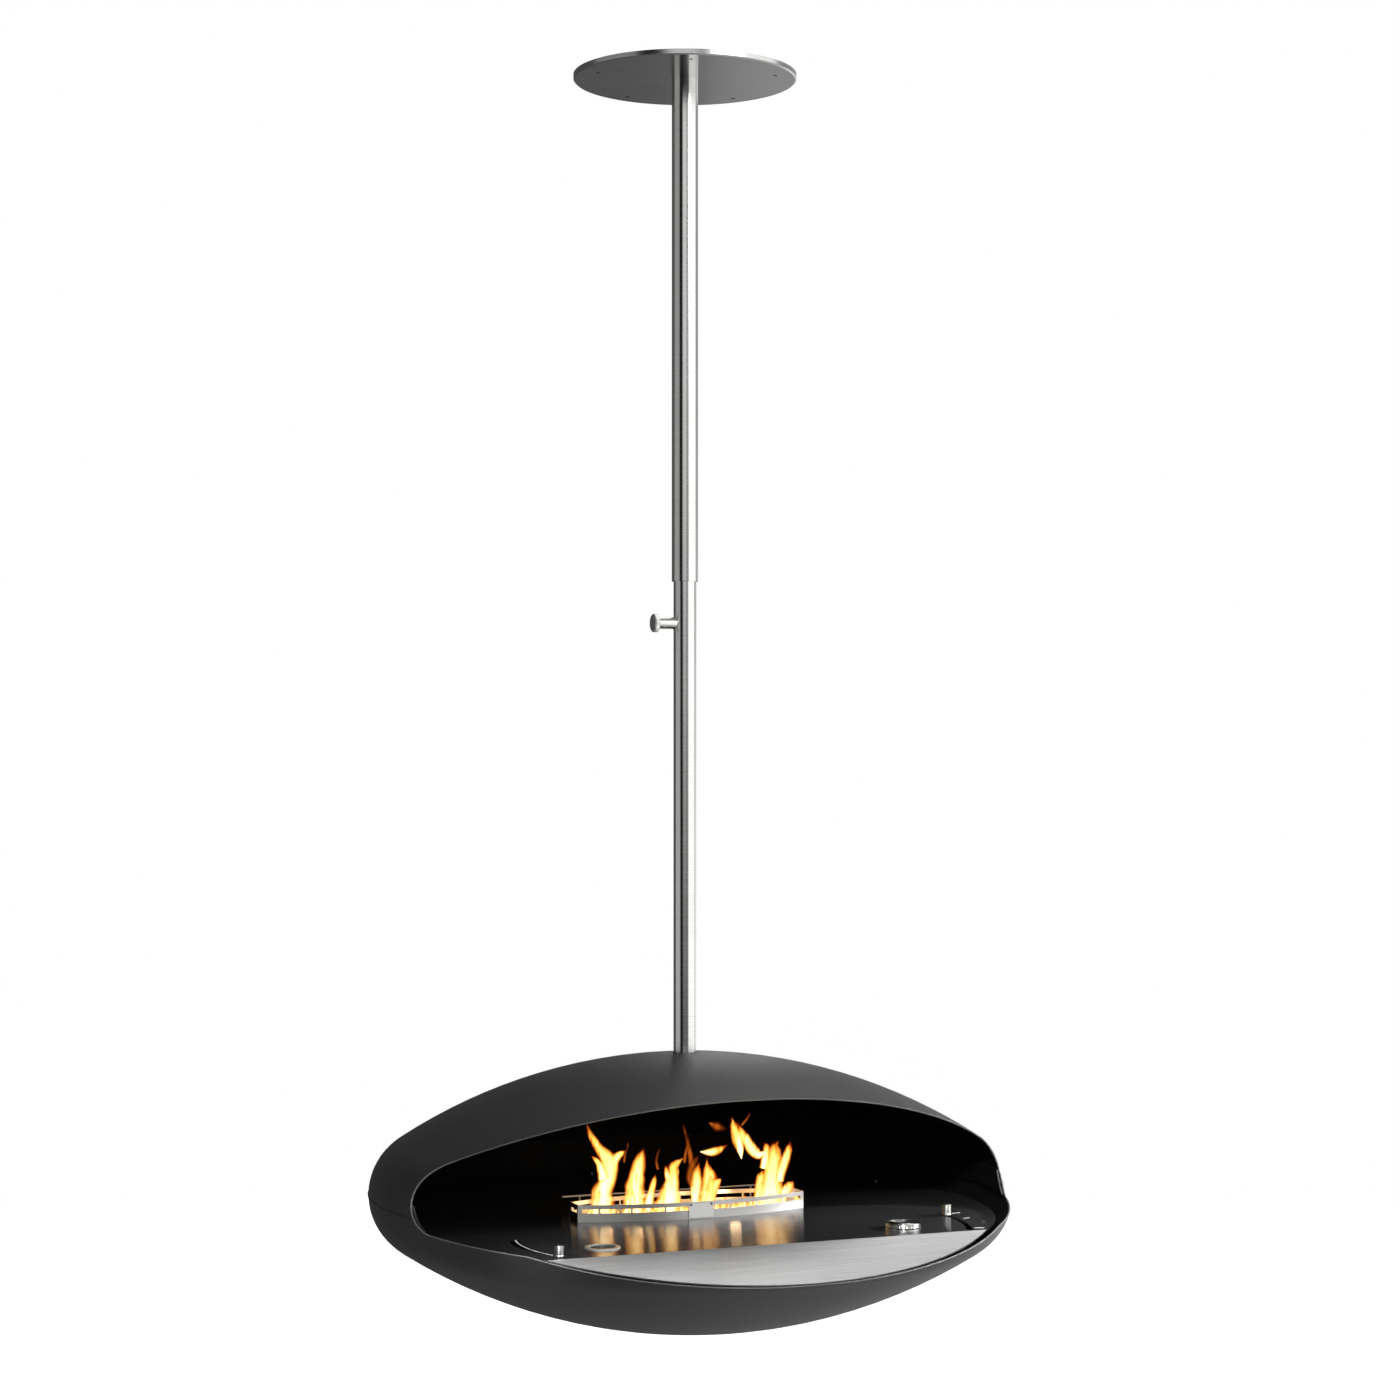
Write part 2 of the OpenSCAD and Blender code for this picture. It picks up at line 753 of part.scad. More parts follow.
module rear_shutter() color(dark_steel) in_pod() {
    pin_y = -pivot_y - crank_l * sin(front_a - mid_a);
    arm_w = 14;
    arm_x = -178;
    cross_y = -70;
    difference() {
        translate([0, 0, blade_bot]) {
            translate([-blade_l / 2, rear_open_y, 0]) cube([blade_l, blade_w, blade_t]);
            translate([arm_x, rear_open_y + blade_w - arm_w, 0]) cube([30, arm_w, blade_t]);
            translate([arm_x, cross_y, 0]) cube([arm_w, rear_open_y + blade_w - cross_y, blade_t]);
            translate([arm_x, cross_y, 0]) cube([-60 - arm_x, arm_w, blade_t]);
            translate([-90, pin_y - 15, 0]) cube([30, cross_y + arm_w - pin_y + 15, blade_t]);
        }
        pin_slot(-75, pin_y);
    }
}

module scale_marks() color(steel) in_pod() {
    mark_a = [6.8, -3.7, -23.3];
    mark_from = [20, 13, 8];
    mark_l = [14, 10, 15];
    for (i = [0:2]) translate([pivot_x, -pivot_y, floor_top]) rotate(mark_a[i])
        translate([lever_r + mark_from[i], -0.6, 0]) cube([mark_l[i], 1.2, 0.3]);
}

// ---- filler cap ----

module filler_cap() color(steel) in_pod() {
    grips = 36;
    cap_r = 26.5;
    translate([filler_x, filler_y, floor_top + cap_seat]) difference() {
        union() {
            rotate_extrude() polygon([[0, 0], [cap_r - 0.5, 0], [cap_r, 0.5], [cap_r, cap_h - 1],
                [cap_r - 0.8, cap_h], [0, cap_h]]);
            translate([0, 0, -13]) cylinder(d = neck_d - 4.6, h = 14);
        }
        for (i = [0:grips - 1]) rotate(i * 360 / grips) translate([cap_r + 0.5, 0, 1.2])
            cylinder(d = 1.8, h = cap_h - 2.4, $fn = 16);
        translate([0, 0, -14]) cylinder(d = neck_d - 9, h = 12);
    }
}

module cap_seal() color(rubber_black) in_pod() {
    translate([filler_x, filler_y, floor_top + 2.02]) ring(24, neck_d / 2 - 2, 0.96);
}

ceiling_plate();
tube_socket();
socket_screws();
cover_sleeve();
core_tube();
core_bush();
drop_tube();
top_bush();
clamp_boss();
swivel_spindle();
upper_washer();
lower_washer();
hanger_nut();
nut_pin();
clamp_screw();
knob_head();
upper_shell();
lower_shell();
seam_ring();
seam_screws();
hub_housing();
hub_studs();
hub_nuts();
hearth_floor();
floor_brackets();
floor_screws();
apron_plate();
apron_brackets();
burner_rim();
burner_deck();
name_plate();
plate_rivets();
burner_tank();
tank_spacers();
tank_studs();
tank_nuts();
ceramic_wool();
shutter_rails();
filler_neck();
feed_pipe();
port_ring();
port_cup();
rear_guard_rod();
lever_pivots();
pivot_clips();
scale_marks();
filler_cap();
cap_seal();
left_lever();
left_knob();
right_lever();
right_knob();
front_shutter();
rear_shutter();
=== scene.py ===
# Looks for a hanging ethanol hearth: a black lens-shaped pod on a telescopic steel pole.
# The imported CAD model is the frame. Everything is in metres, with the origin on the ceiling.
import math
import random

import bmesh
import bpy
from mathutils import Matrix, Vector, noise


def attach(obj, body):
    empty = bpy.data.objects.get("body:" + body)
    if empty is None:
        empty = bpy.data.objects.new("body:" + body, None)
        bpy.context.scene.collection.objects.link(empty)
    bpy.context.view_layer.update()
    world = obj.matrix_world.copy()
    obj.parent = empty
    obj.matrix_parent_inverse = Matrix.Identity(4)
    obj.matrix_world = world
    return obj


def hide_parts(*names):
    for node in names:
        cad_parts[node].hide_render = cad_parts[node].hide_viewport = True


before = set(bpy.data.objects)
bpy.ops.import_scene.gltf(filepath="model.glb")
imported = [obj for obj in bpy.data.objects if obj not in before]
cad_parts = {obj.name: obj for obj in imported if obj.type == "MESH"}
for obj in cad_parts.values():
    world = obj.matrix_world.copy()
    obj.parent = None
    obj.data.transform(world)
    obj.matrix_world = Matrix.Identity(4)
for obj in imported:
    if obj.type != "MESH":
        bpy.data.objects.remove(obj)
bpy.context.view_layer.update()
scene = bpy.context.scene
print("frame loaded:", len(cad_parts), "nodes")

# Where the pod's own middle is, at the height of its seam
podMiddle = Vector((0.0, -0.024, -1.75))
# Heights and radii of the pod in millimetres, as in the part's source
podShape = {
    "radius": 500.0,
    "domeRadius": 844.0,
    "edgeRadius": 90.0,
    "sheet": 2.5,
    "floorTop": -38.0,
}


def podPoint(x, y, z):  # millimetres from the pod's middle to a place in the frame
    return podMiddle + Vector((x, y, z)) / 1000


def hexToLinear(code):
    parts = [int(code[i:i + 2], 16) / 255 for i in (1, 3, 5)]
    return [c / 12.92 if c <= 0.04045 else ((c + 0.055) / 1.055) ** 2.4 for c in parts] + [1.0]


def addNode(tree, kind, settings=None, links=None):
    node = tree.nodes.new("ShaderNode" + kind)
    for name, value in (settings or {}).items():
        if isinstance(name, str) and hasattr(node, name):
            setattr(node, name, value)
        else:
            node.inputs[name].default_value = value
    for name, source in (links or {}).items():
        tree.links.new(source, node.inputs[name])
    return node


def newFinish(name, values):
    finish = bpy.data.materials.new(name)
    finish.use_nodes = True
    tree = finish.node_tree
    tree.nodes.clear()
    shader = addNode(tree, "BsdfPrincipled", values)
    addNode(tree, "OutputMaterial", links={"Surface": shader.outputs["BSDF"]})
    return finish, tree, shader


def toneRamp(tree, source, stops):
    ramp = addNode(tree, "ValToRGB", links={"Fac": source})
    while len(ramp.color_ramp.elements) < len(stops):
        ramp.color_ramp.elements.new(0.5)
    for element, (at, code) in zip(ramp.color_ramp.elements, stops):
        element.position = at
        element.color = hexToLinear(code) if isinstance(code, str) else [code, code, code, 1.0]
    return ramp


def grainAcross(tree, direction):  # the way in which a grain blurs what it mirrors
    across = addNode(tree, "CombineXYZ", dict(enumerate(direction)))
    turned = addNode(tree, "VectorTransform", {
        "vector_type": "VECTOR", "convert_from": "OBJECT", "convert_to": "WORLD",
    }, {"Vector": across.outputs["Vector"]})
    return turned.outputs["Vector"]


# A finish's noise fields drive its tone, roughness and bump, each over the span where the field varies
def dressSurface(tree, shader, look, fields, spans):
    tone = toneRamp(tree, fields["tone"], list(zip(spans["tone"], (look["dark"], look["light"]))))
    rough = addNode(tree, "MapRange", {
        "From Min": spans["rough"][0], "From Max": spans["rough"][1],
        "To Min": look["rough"][0], "To Max": look["rough"][1],
    }, {"Value": fields["rough"]})
    bump = addNode(tree, "Bump", {"Strength": look["bump"], "Distance": look.get("bumpDepth", 0.00005)},
                   {"Height": fields["bump"]})
    tree.links.new(tone.outputs["Color"], shader.inputs["Base Color"])
    tree.links.new(rough.outputs["Result"], shader.inputs["Roughness"])
    tree.links.new(bump.outputs["Normal"], shader.inputs["Normal"])
    if "across" in look:
        tree.links.new(grainAcross(tree, look["across"]), shader.inputs["Tangent"])


def makeBrushedSteel(name, look):  # hairlines, with a broad cloud over them
    finish, tree, shader = newFinish(name, {"Metallic": 1.0, "Anisotropic": look["anisotropic"]})
    place = addNode(tree, "TexCoord")
    stretch = addNode(tree, "Mapping", {"Scale": look["stretch"]}, {"Vector": place.outputs["Object"]})
    lines = addNode(tree, "TexNoise", {"Scale": 1.0, "Detail": 4.0, "Roughness": 0.65},
                    {"Vector": stretch.outputs["Vector"]})
    broad = addNode(tree, "TexNoise", {"Scale": look["cloud"], "Detail": 2.0},
                    {"Vector": place.outputs["Object"]})
    both = addNode(tree, "Math", {"operation": "MULTIPLY_ADD", 1: 0.25},
                   {0: broad.outputs["Fac"], 2: lines.outputs["Fac"]})
    fields = {"tone": both.outputs["Value"], "rough": both.outputs["Value"], "bump": lines.outputs["Fac"]}
    dressSurface(tree, shader, look, fields, {"tone": (0.4, 0.85), "rough": (0.4, 0.85)})
    return finish


# Stainless tube linished round its girth: level hairlines 0.4 mm apart, drawn at 1.3 mm so that they
# show, and sharp upright reflections that smear along the tube
tubeSteel = makeBrushedSteel("brushedStainlessTube", {
    "dark": "#c6c6c4", "light": "#e0e0de", "rough": (0.14, 0.22), "anisotropic": 0.75,
    "stretch": (6.0, 6.0, 770.0), "cloud": 9.0, "bump": 0.05, "across": (0.0, 0.0, 1.0),
})
# Stainless sheet with a number 4 grain along its length: hairlines drawn at 1.2 mm, and a soft glow
# that runs across them
sheetSteel = makeBrushedSteel("brushedStainlessSheet", {
    "dark": "#a0a09f", "light": "#d0d0d0", "rough": (0.4, 0.5), "anisotropic": 0.8,
    "stretch": (7.0, 830.0, 830.0), "cloud": 6.0, "bump": 0.15, "across": (0.0, 1.0, 0.0),
})
# The ceiling plate's finer grain: the pole's image still shows in it, drawn out towards the viewer
plateSteel = makeBrushedSteel("fineBrushedStainlessPlate", {
    "dark": "#b0b0af", "light": "#c2c2c1", "rough": (0.13, 0.19), "anisotropic": 0.75,
    "stretch": (5.0, 830.0, 830.0), "cloud": 5.0, "bump": 0.04, "across": (0.0, 1.0, 0.0),
})
# The same grain on upright walls, such as the burner's rim: even and calm, with a soft upright glow
wallSteel = makeBrushedSteel("brushedStainlessWall", {
    "dark": "#bfbebc", "light": "#cbcac8", "rough": (0.28, 0.34), "anisotropic": 0.6,
    "stretch": (7.0, 830.0, 830.0), "cloud": 8.0, "bump": 0.04, "across": (0.0, 0.0, 1.0),
})
# The plaque's paler satin, which sets it off from the rim
plaqueSteel = makeBrushedSteel("satinStainlessPlaque", {
    "dark": "#dcdbd9", "light": "#e6e5e3", "rough": (0.34, 0.42), "anisotropic": 0.4,
    "stretch": (9.0, 900.0, 900.0), "cloud": 20.0, "bump": 0.03, "across": (0.0, 0.0, 1.0),
})
# Lathe-turned stainless of knobs and cap: its level cuts draw every light out into an upright band
satinSteel = makeBrushedSteel("latheTurnedStainless", {
    "dark": "#b4b3b1", "light": "#c8c7c5", "rough": (0.3, 0.4), "anisotropic": 0.9,
    "stretch": (20.0, 20.0, 900.0), "cloud": 20.0, "bump": 0.03, "across": (0.0, 0.0, 1.0),
})


def makeTurnedSteel(name, look):  # one even grain, the same all ways
    finish, tree, shader = newFinish(name, {"Metallic": 1.0})
    place = addNode(tree, "TexCoord")
    grain = addNode(tree, "TexNoise", {"Scale": look["grain"], "Detail": 5.0, "Roughness": 0.7},
                    {"Vector": place.outputs["Object"]})
    fields = {"tone": grain.outputs["Fac"], "rough": grain.outputs["Fac"], "bump": grain.outputs["Fac"]}
    dressSurface(tree, shader, look, fields, {"tone": (0.3, 0.7), "rough": (0.3, 0.7)})
    return finish


# Turned and polished stainless: near mirror, with faint smudges 8 mm across
polishedSteel = makeTurnedSteel("polishedStainless", {
    "dark": "#c8c7c4", "light": "#d8d7d4", "rough": (0.07, 0.15), "grain": 120.0, "bump": 0.03})
# Matt-turned stainless of small flat rings and rods: an even light grey
mattSteel = makeTurnedSteel("mattTurnedStainless", {
    "dark": "#cfcecb", "light": "#dedddb", "rough": (0.38, 0.46), "grain": 160.0, "bump": 0.02})
# Blued and oiled mild steel of nuts, studs and pivots: dark, with an uneven sheen
oiledSteel = makeTurnedSteel("oiledMildSteel", {
    "dark": "#3e3f41", "light": "#5f6062", "rough": (0.32, 0.5), "grain": 260.0, "bump": 0.1})
# Bearing bronze: warm and a little dull, with a turned grain
bearingBronze = makeTurnedSteel("bearingBronze", {
    "dark": "#8a6a35", "light": "#b08a4c", "rough": (0.3, 0.45), "grain": 240.0, "bump": 0.08})


def makeCoat(name, look):  # a skin with a fine peel, and a broad cloud in its tone
    finish, tree, shader = newFinish(name, {
        "Metallic": 0.0,
        "IOR": look["ior"],
        "Sheen Weight": look.get("sheen", 0.0),
        "Anisotropic": look.get("anisotropic", 0.0),
    })
    place = addNode(tree, "TexCoord")
    peel = addNode(tree, "TexNoise", {"Scale": look["peel"], "Detail": 3.0, "Roughness": 0.55},
                   {"Vector": place.outputs["Object"]})
    cloud = addNode(tree, "TexNoise", {"Scale": look["cloud"], "Detail": 4.0},
                    {"Vector": place.outputs["Object"]})
    fields = {"tone": cloud.outputs["Fac"], "rough": peel.outputs["Fac"], "bump": peel.outputs["Fac"]}
    dressSurface(tree, shader, look, fields, {"tone": (0.3, 0.7), "rough": (0.25, 0.75)})
    return finish


# Fine-textured polyester powder coat, baked on: a dense charcoal with a soft sheen at low angles and a
# grain of about 0.6 mm, drawn at 1.6 mm
powderCoat = makeCoat("powderCoatBlack", {
    "dark": "#161617", "light": "#1e1e1f", "rough": (0.42, 0.56), "ior": 1.5, "peel": 620.0,
    "cloud": 5.0, "bump": 0.25, "bumpDepth": 0.0002})
# The same coat where it wraps the mouth's cut edge, thin and smoother, with a much paler tone that is a
# painted highlight along the edge: a pale line
edgeHighlightCoat = makeCoat("paintedHighlightPowderCoatEdge", {
    "dark": "#555554", "light": "#6c6c6b", "rough": (0.3, 0.4), "ior": 1.5, "peel": 620.0,
    "cloud": 12.0, "bump": 0.1, "bumpDepth": 0.0001})
# High-temperature enamel of the hearth's floor, rubbed down from front to back: deep black, with
# mirror images that keep their sides and run out towards the viewer
floorEnamel = makeCoat("glossHeatEnamel", {
    "dark": "#262627", "light": "#2a2a2b", "rough": (0.17, 0.2), "ior": 1.9, "peel": 60.0,
    "cloud": 9.0, "bump": 0.001, "bumpDepth": 0.0003, "anisotropic": 0.85, "across": (0.0, 1.0, 0.0)})
# Matt high-temperature paint on the inside of the shells, made darker than the outer coat so that it also
# paints in the shade inside the pod: takes up nearly all light
insidePaintAndShade = makeCoat("mattHeatPaintAndPaintedShade", {
    "dark": "#070707", "light": "#0c0c0c", "rough": (0.6, 0.7), "ior": 1.25, "peel": 500.0,
    "cloud": 6.0, "bump": 0.1, "bumpDepth": 0.0002})
# Natural nylon of the sliding bushes: milky, waxy, lightly scuffed
nylonBush = makeCoat("mouldedNylon", {
    "dark": "#d8d5cc", "light": "#e8e5dd", "rough": (0.35, 0.5), "ior": 1.53, "peel": 300.0,
    "cloud": 40.0, "bump": 0.1, "bumpDepth": 0.0001})
# EPDM rubber of the cap's seal: matt and slightly dusty
sealRubber = makeCoat("epdmRubber", {
    "dark": "#141414", "light": "#222222", "rough": (0.7, 0.85), "ior": 1.5, "peel": 900.0,
    "cloud": 60.0, "bump": 0.2, "bumpDepth": 0.0001})
# Ceramic-fibre wool that holds the fuel: warm white, woolly and soft
fibreWool = makeCoat("ceramicFibreWool", {
    "dark": "#b9b0a1", "light": "#e6dfd2", "rough": (0.9, 1.0), "ior": 1.3, "peel": 350.0,
    "cloud": 90.0, "bump": 0.9, "bumpDepth": 0.0015, "sheen": 0.3})
# Pale baked-on ink of the scale marks; the same pale tone also draws the painted highlight line along the
# left slot
markInkAndSlotHighlight = makeCoat("bakedMarkInkAndSlotHighlight", {
    "dark": "#dcdcdb", "light": "#f0f0ef", "rough": (0.4, 0.5), "ior": 1.5, "peel": 500.0,
    "cloud": 80.0, "bump": 0.05, "bumpDepth": 0.0001})
print("finishes made")

# Which finish each CAD node wears, where the node itself is shown
nodeFinish = {
    tubeSteel: ["cover_sleeve", "core_tube", "drop_tube", "port_cup"],
    plateSteel: ["ceiling_plate"],
    sheetSteel: ["apron_plate", "burner_tank"],
    wallSteel: ["burner_rim", "filler_neck"],
    plaqueSteel: ["name_plate"],
    satinSteel: ["filler_cap", "left_knob", "right_knob"],
    mattSteel: ["port_ring", "rear_guard_rod"],
    polishedSteel: ["clamp_boss", "clamp_screw", "knob_head", "swivel_spindle", "hub_studs",
                    "nut_pin", "tank_studs", "tank_nuts", "feed_pipe", "left_lever", "right_lever",
                    "lever_pivots"],
    oiledSteel: ["tube_socket", "socket_screws", "hanger_nut", "hub_housing", "hub_nuts",
                 "plate_rivets", "burner_deck", "tank_spacers", "shutter_rails", "pivot_clips",
                 "front_shutter", "rear_shutter"],
    powderCoat: ["upper_shell", "lower_shell", "seam_ring"],
    insidePaintAndShade: ["seam_screws", "floor_brackets", "apron_brackets"],
    floorEnamel: ["hearth_floor", "floor_screws"],
    bearingBronze: ["upper_washer", "lower_washer"],
    nylonBush: ["core_bush", "top_bush"],
    sealRubber: ["cap_seal"],
    fibreWool: ["ceramic_wool"],
    markInkAndSlotHighlight: ["scale_marks"],
}
for finish, names in nodeFinish.items():
    for name in names:
        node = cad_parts[name]
        node.data.materials.clear()
        node.data.materials.append(finish)
# Faces of the shells and their ring that look towards the pod's middle wear the inside paint, whose darker
# tone is partly painted shade
for name in nodeFinish[powderCoat]:
    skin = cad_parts[name].data
    skin.materials.append(insidePaintAndShade)
    for polygon in skin.polygons:
        if polygon.normal.dot(polygon.center - podMiddle) < 0:
            polygon.material_index = 1


def newPiece(name, verts, faces, body, finish):
    mesh = bpy.data.meshes.new(name)
    mesh.from_pydata([tuple(v) for v in verts], [], faces)
    mesh.validate()
    work = bmesh.new()
    work.from_mesh(mesh)
    bmesh.ops.recalc_face_normals(work, faces=work.faces)
    work.to_mesh(mesh)
    work.free()
    mesh.materials.append(finish)
    for polygon in mesh.polygons:
        polygon.use_smooth = True
    piece = bpy.data.objects.new(name, mesh)
    scene.collection.objects.link(piece)
    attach(piece, body)
    return piece


# Skin over rings that hold the same number of points each: closed on itself, or capped at both ends
def sweepFaces(rings, perRing, first=0, closed=False):
    faces = []
    for i in range(rings if closed else rings - 1):
        here = first + i * perRing
        there = first + (i + 1) % rings * perRing
        for k in range(perRing):
            m = (k + 1) % perRing
            faces.append((here + k, here + m, there + m, there + k))
    if not closed:
        last = first + (rings - 1) * perRing
        faces += [tuple(range(first, first + perRing)), tuple(range(last, last + perRing))]
    return faces


# Outline of the mouth seen from the side, in millimetres from the pod's middle and in degrees
mouth = {
    "noseRadius": 56.3, "noseY": -163.0, "noseZ": 37.0, "upperSlope": 33.0, "slopeOff": 56.0,
    "lowerSlope": 3.8, "lipSlope": 16.5, "lipFoldY": -322.0,
    "tightFrom": -0.72,  # radians round the nose: from here down its radius is slopeOff
    "upperRun": 190.0, "lipRun": 160.0,
    # how many steps along the upper slope, round the nose, along the flat and down the lip
    "steps": (160, 60, 60, 100),
}


def shellRadius(z, inset):  # radius of the pod's skin at height z, shrunk by inset all round
    height = abs(z)
    edgeMiddle = podShape["radius"] - podShape["edgeRadius"]
    reach = podShape["domeRadius"] - podShape["edgeRadius"]
    drop = math.sqrt(reach ** 2 - edgeMiddle ** 2)
    edge = podShape["edgeRadius"] - inset
    meetHeight = edge * drop / reach
    if height <= meetHeight:
        return edgeMiddle + math.sqrt(max(edge ** 2 - height ** 2, 0.0))
    dome = podShape["domeRadius"] - inset
    return math.sqrt(max(dome ** 2 - (height + drop) ** 2, 0.0))


def mouthProfile():  # points (y, z) from the top of the mouth round the nose to the lower lip
    slopeSteps, noseSteps, flatSteps, lipSteps = mouth["steps"]
    noseY, noseZ, foldY = mouth["noseY"], mouth["noseZ"], mouth["lipFoldY"]
    points = []
    # along the upper slope, from the front to where it meets the nose
    slope = math.radians(mouth["upperSlope"])
    normal = (math.sin(slope), math.cos(slope))
    along = (-math.cos(slope), math.sin(slope))
    back = math.sqrt(mouth["noseRadius"] ** 2 - mouth["slopeOff"] ** 2)
    for i in range(slopeSteps + 1):
        run = mouth["upperRun"] * (1 - i / slopeSteps) - back
        points.append((noseY + mouth["slopeOff"] * normal[0] + along[0] * run,
                       noseZ + mouth["slopeOff"] * normal[1] + along[1] * run))
    # round the nose
    start = math.atan2(points[-1][1] - noseZ, points[-1][0] - noseY)
    end = math.radians(-90 + mouth["lowerSlope"])
    for i in range(1, noseSteps + 1):
        angle = start + (end - start) * i / noseSteps
        radius = mouth["noseRadius"] if angle > mouth["tightFrom"] else mouth["slopeOff"]
        points.append((noseY + radius * math.cos(angle), noseZ + radius * math.sin(angle)))
    # forwards along the flat to the fold of the lip
    first = points[-1]
    foldZ = first[1] - (first[0] - foldY) * math.tan(math.radians(mouth["lowerSlope"]))
    for i in range(1, flatSteps + 1):
        share = i / flatSteps
        points.append((first[0] + (foldY - first[0]) * share, first[1] + (foldZ - first[1]) * share))
    # down the lip to the front
    for i in range(1, lipSteps + 1):
        run = mouth["lipRun"] * i / lipSteps
        points.append((foldY - run, foldZ - run * math.tan(math.radians(mouth["lipSlope"]))))
    return points


def mouthEdge(inset):  # right half of the mouth's outline on the skin shrunk by inset
    edge = []
    for y, z in mouthProfile():
        radius = shellRadius(z, inset)
        if radius > abs(y):
            edge.append(Vector((math.sqrt(radius ** 2 - y ** 2), y, z)))
        elif edge and z < 0:
            break
    return edge


def evenly(points, step):
    lengths = [0.0]
    for a, b in zip(points, points[1:]):
        lengths.append(lengths[-1] + (b - a).length)
    count = max(int(lengths[-1] / step), 2)
    even, at = [], 0
    for i in range(count + 1):
        want = lengths[-1] * i / count
        while at < len(lengths) - 2 and lengths[at + 1] < want:
            at += 1
        share = (want - lengths[at]) / max(lengths[at + 1] - lengths[at], 1e-9)
        even.append(points[at].lerp(points[at + 1], min(share, 1.0)))
    return even


def mirrored(points):
    return [Vector((-p.x, p.y, p.z)) for p in points]


# Painted bead over the mouth's cut edge, in millimetres
bead = {
    "bulge": 0.8, "proud": 0.12, "sections": 10,
    "rootWide": 0.6, "rootDeep": 0.5,  # share of the width, and depth, of its root in the sheet
    "step": 4.0, "innerStep": 0.5,  # spacing of points along the outer and the inner edge
    "nearMiddle": 0.5, "middleReach": 0.3,  # how an edge that ends near the middle line is carried to it
    "opening": (0.0, -253.0, -3.0),  # a place in the mouth that the bead bulges towards
}


def carryToMiddle(edge, atEnd):  # adds the point of the half outline where x is 0
    tip, before = (edge[-1], edge[-2]) if atEnd else (edge[0], edge[1])
    if tip.x < bead["nearMiddle"]:
        return
    reach = min(tip.x / max(abs(before.x - tip.x), 1e-6), 1.0) * bead["middleReach"]
    middle = Vector((0.0, tip.y + (tip.y - before.y) * reach, tip.z + (tip.z - before.z) * reach))
    edge.insert(len(edge) if atEnd else 0, middle)


def makeMouthBead():
    outer, inner = mouthEdge(0.0), mouthEdge(podShape["sheet"])
    for half in (outer, inner):
        carryToMiddle(half, False)
        carryToMiddle(half, True)
    outer, inner = evenly(outer, bead["step"]), evenly(inner, bead["innerStep"])
    ring = outer + mirrored(outer[1:-1])[::-1]
    inner = inner + mirrored(inner)
    verts = []
    for i, here in enumerate(ring):
        tangent = (ring[(i + 1) % len(ring)] - ring[i - 1]).normalized()
        across = min(inner, key=lambda p: (p - here).length_squared) - here
        across -= tangent * across.dot(tangent)
        width = across.length
        across.normalize()
        out = tangent.cross(across).normalized()
        if out.dot(Vector(bead["opening"]) - here) < 0:
            out = -out
        middle = here + across * width / 2
        half = width / 2 + bead["proud"]
        for k in range(bead["sections"]):
            angle = math.pi * k / (bead["sections"] - 1)
            p = middle - across * half * math.cos(angle) + out * bead["bulge"] * math.sin(angle)
            verts.append(podPoint(*p))
        for side in (1, -1):
            root = middle + across * half * bead["rootWide"] * side - out * bead["rootDeep"]
            verts.append(podPoint(*root))
    faces = sweepFaces(len(ring), bead["sections"] + 2, closed=True)
    # the bead's pale coat is a painted highlight along the mouth's edge
    newPiece("mouthBead", verts, faces, "pod", edgeHighlightCoat)


makeMouthBead()
print("mouth bead made")


def makeTurned(name, profile, look, body, finish):
    # profile holds (radius, height, share of the rib's depth) from the lower middle to the upper middle
    segments = look["segments"]
    verts, faces = [], []
    middle, axis = Vector(look["middle"]), Vector(look["axis"]).normalized()
    first = axis.orthogonal().normalized()
    second = axis.cross(first)
    rings = []
    for radius, height, ribbed in profile:
        if radius == 0:
            rings.append([len(verts)])
            verts.append(middle + axis * height / 1000)
            continue
        ring = []
        for i in range(segments):
            angle = 2 * math.pi * i / segments
            wave = (0.5 + 0.5 * math.cos(look.get("ribs", 0) * angle)) ** look.get("ribPower", 1.0)
            r = radius - ribbed * look.get("ribDepth", 0.0) * wave
            ring.append(len(verts))
            verts.append(middle + axis * height / 1000
                         + (first * math.cos(angle) + second * math.sin(angle)) * r / 1000)
        rings.append(ring)
    for low, high in zip(rings, rings[1:]):
        for i in range(segments):
            j = (i + 1) % segments
            if len(low) == 1:
                faces.append((low[0], high[i], high[j]))
            elif len(high) == 1:
                faces.append((low[i], low[j], high[0]))
            else:
                faces.append((low[i], low[j], high[j], high[i]))
    return newPiece(name, verts, faces, body, finish)


# The clamp's head: a ribbed disc with a shallow dish in its face
clampHead = {
    "middle": (-0.0462, 0.0, -0.866), "axis": (-1.0, 0.0, 0.0),
    "segments": 360, "ribs": 40, "ribDepth": 0.75, "ribPower": 1.6,
}
headPiece = makeTurned("clampKnobHead", [
    (0, 0, 0), (8.6, 0, 0), (12.6, 0, 0), (13.3, 0.12, 0), (14.0, 0.6, 0.2), (14.4, 1.1, 0.7), (14.5, 1.6, 1),
    (14.5, 6.4, 1), (14.4, 6.9, 0.7), (14.0, 7.5, 0.3), (13.4, 8.0, 0), (12.6, 8.4, 0), (11.8, 8.5, 0),
    (11.4, 8.42, 0), (11.0, 8.2, 0), (6.0, 8.0, 0), (1.5, 7.9, 0), (0, 7.9, 0),
], clampHead, "clamp_knob", polishedSteel)
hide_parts("knob_head")

# Weld bead round the clamp's boss, laid on the drop tube, in millimetres
weld = {
    "height": -866.0, "tubeRadius": 18.0, "bossRadius": 9.25, "gap": 0.2,
    "bead": 1.5, "wide": 0.8, "deep": 0.6,  # its size, and the share of it across and over the tube
    "ripple": 0.12, "ripples": 30, "around": 96, "section": 8,
}


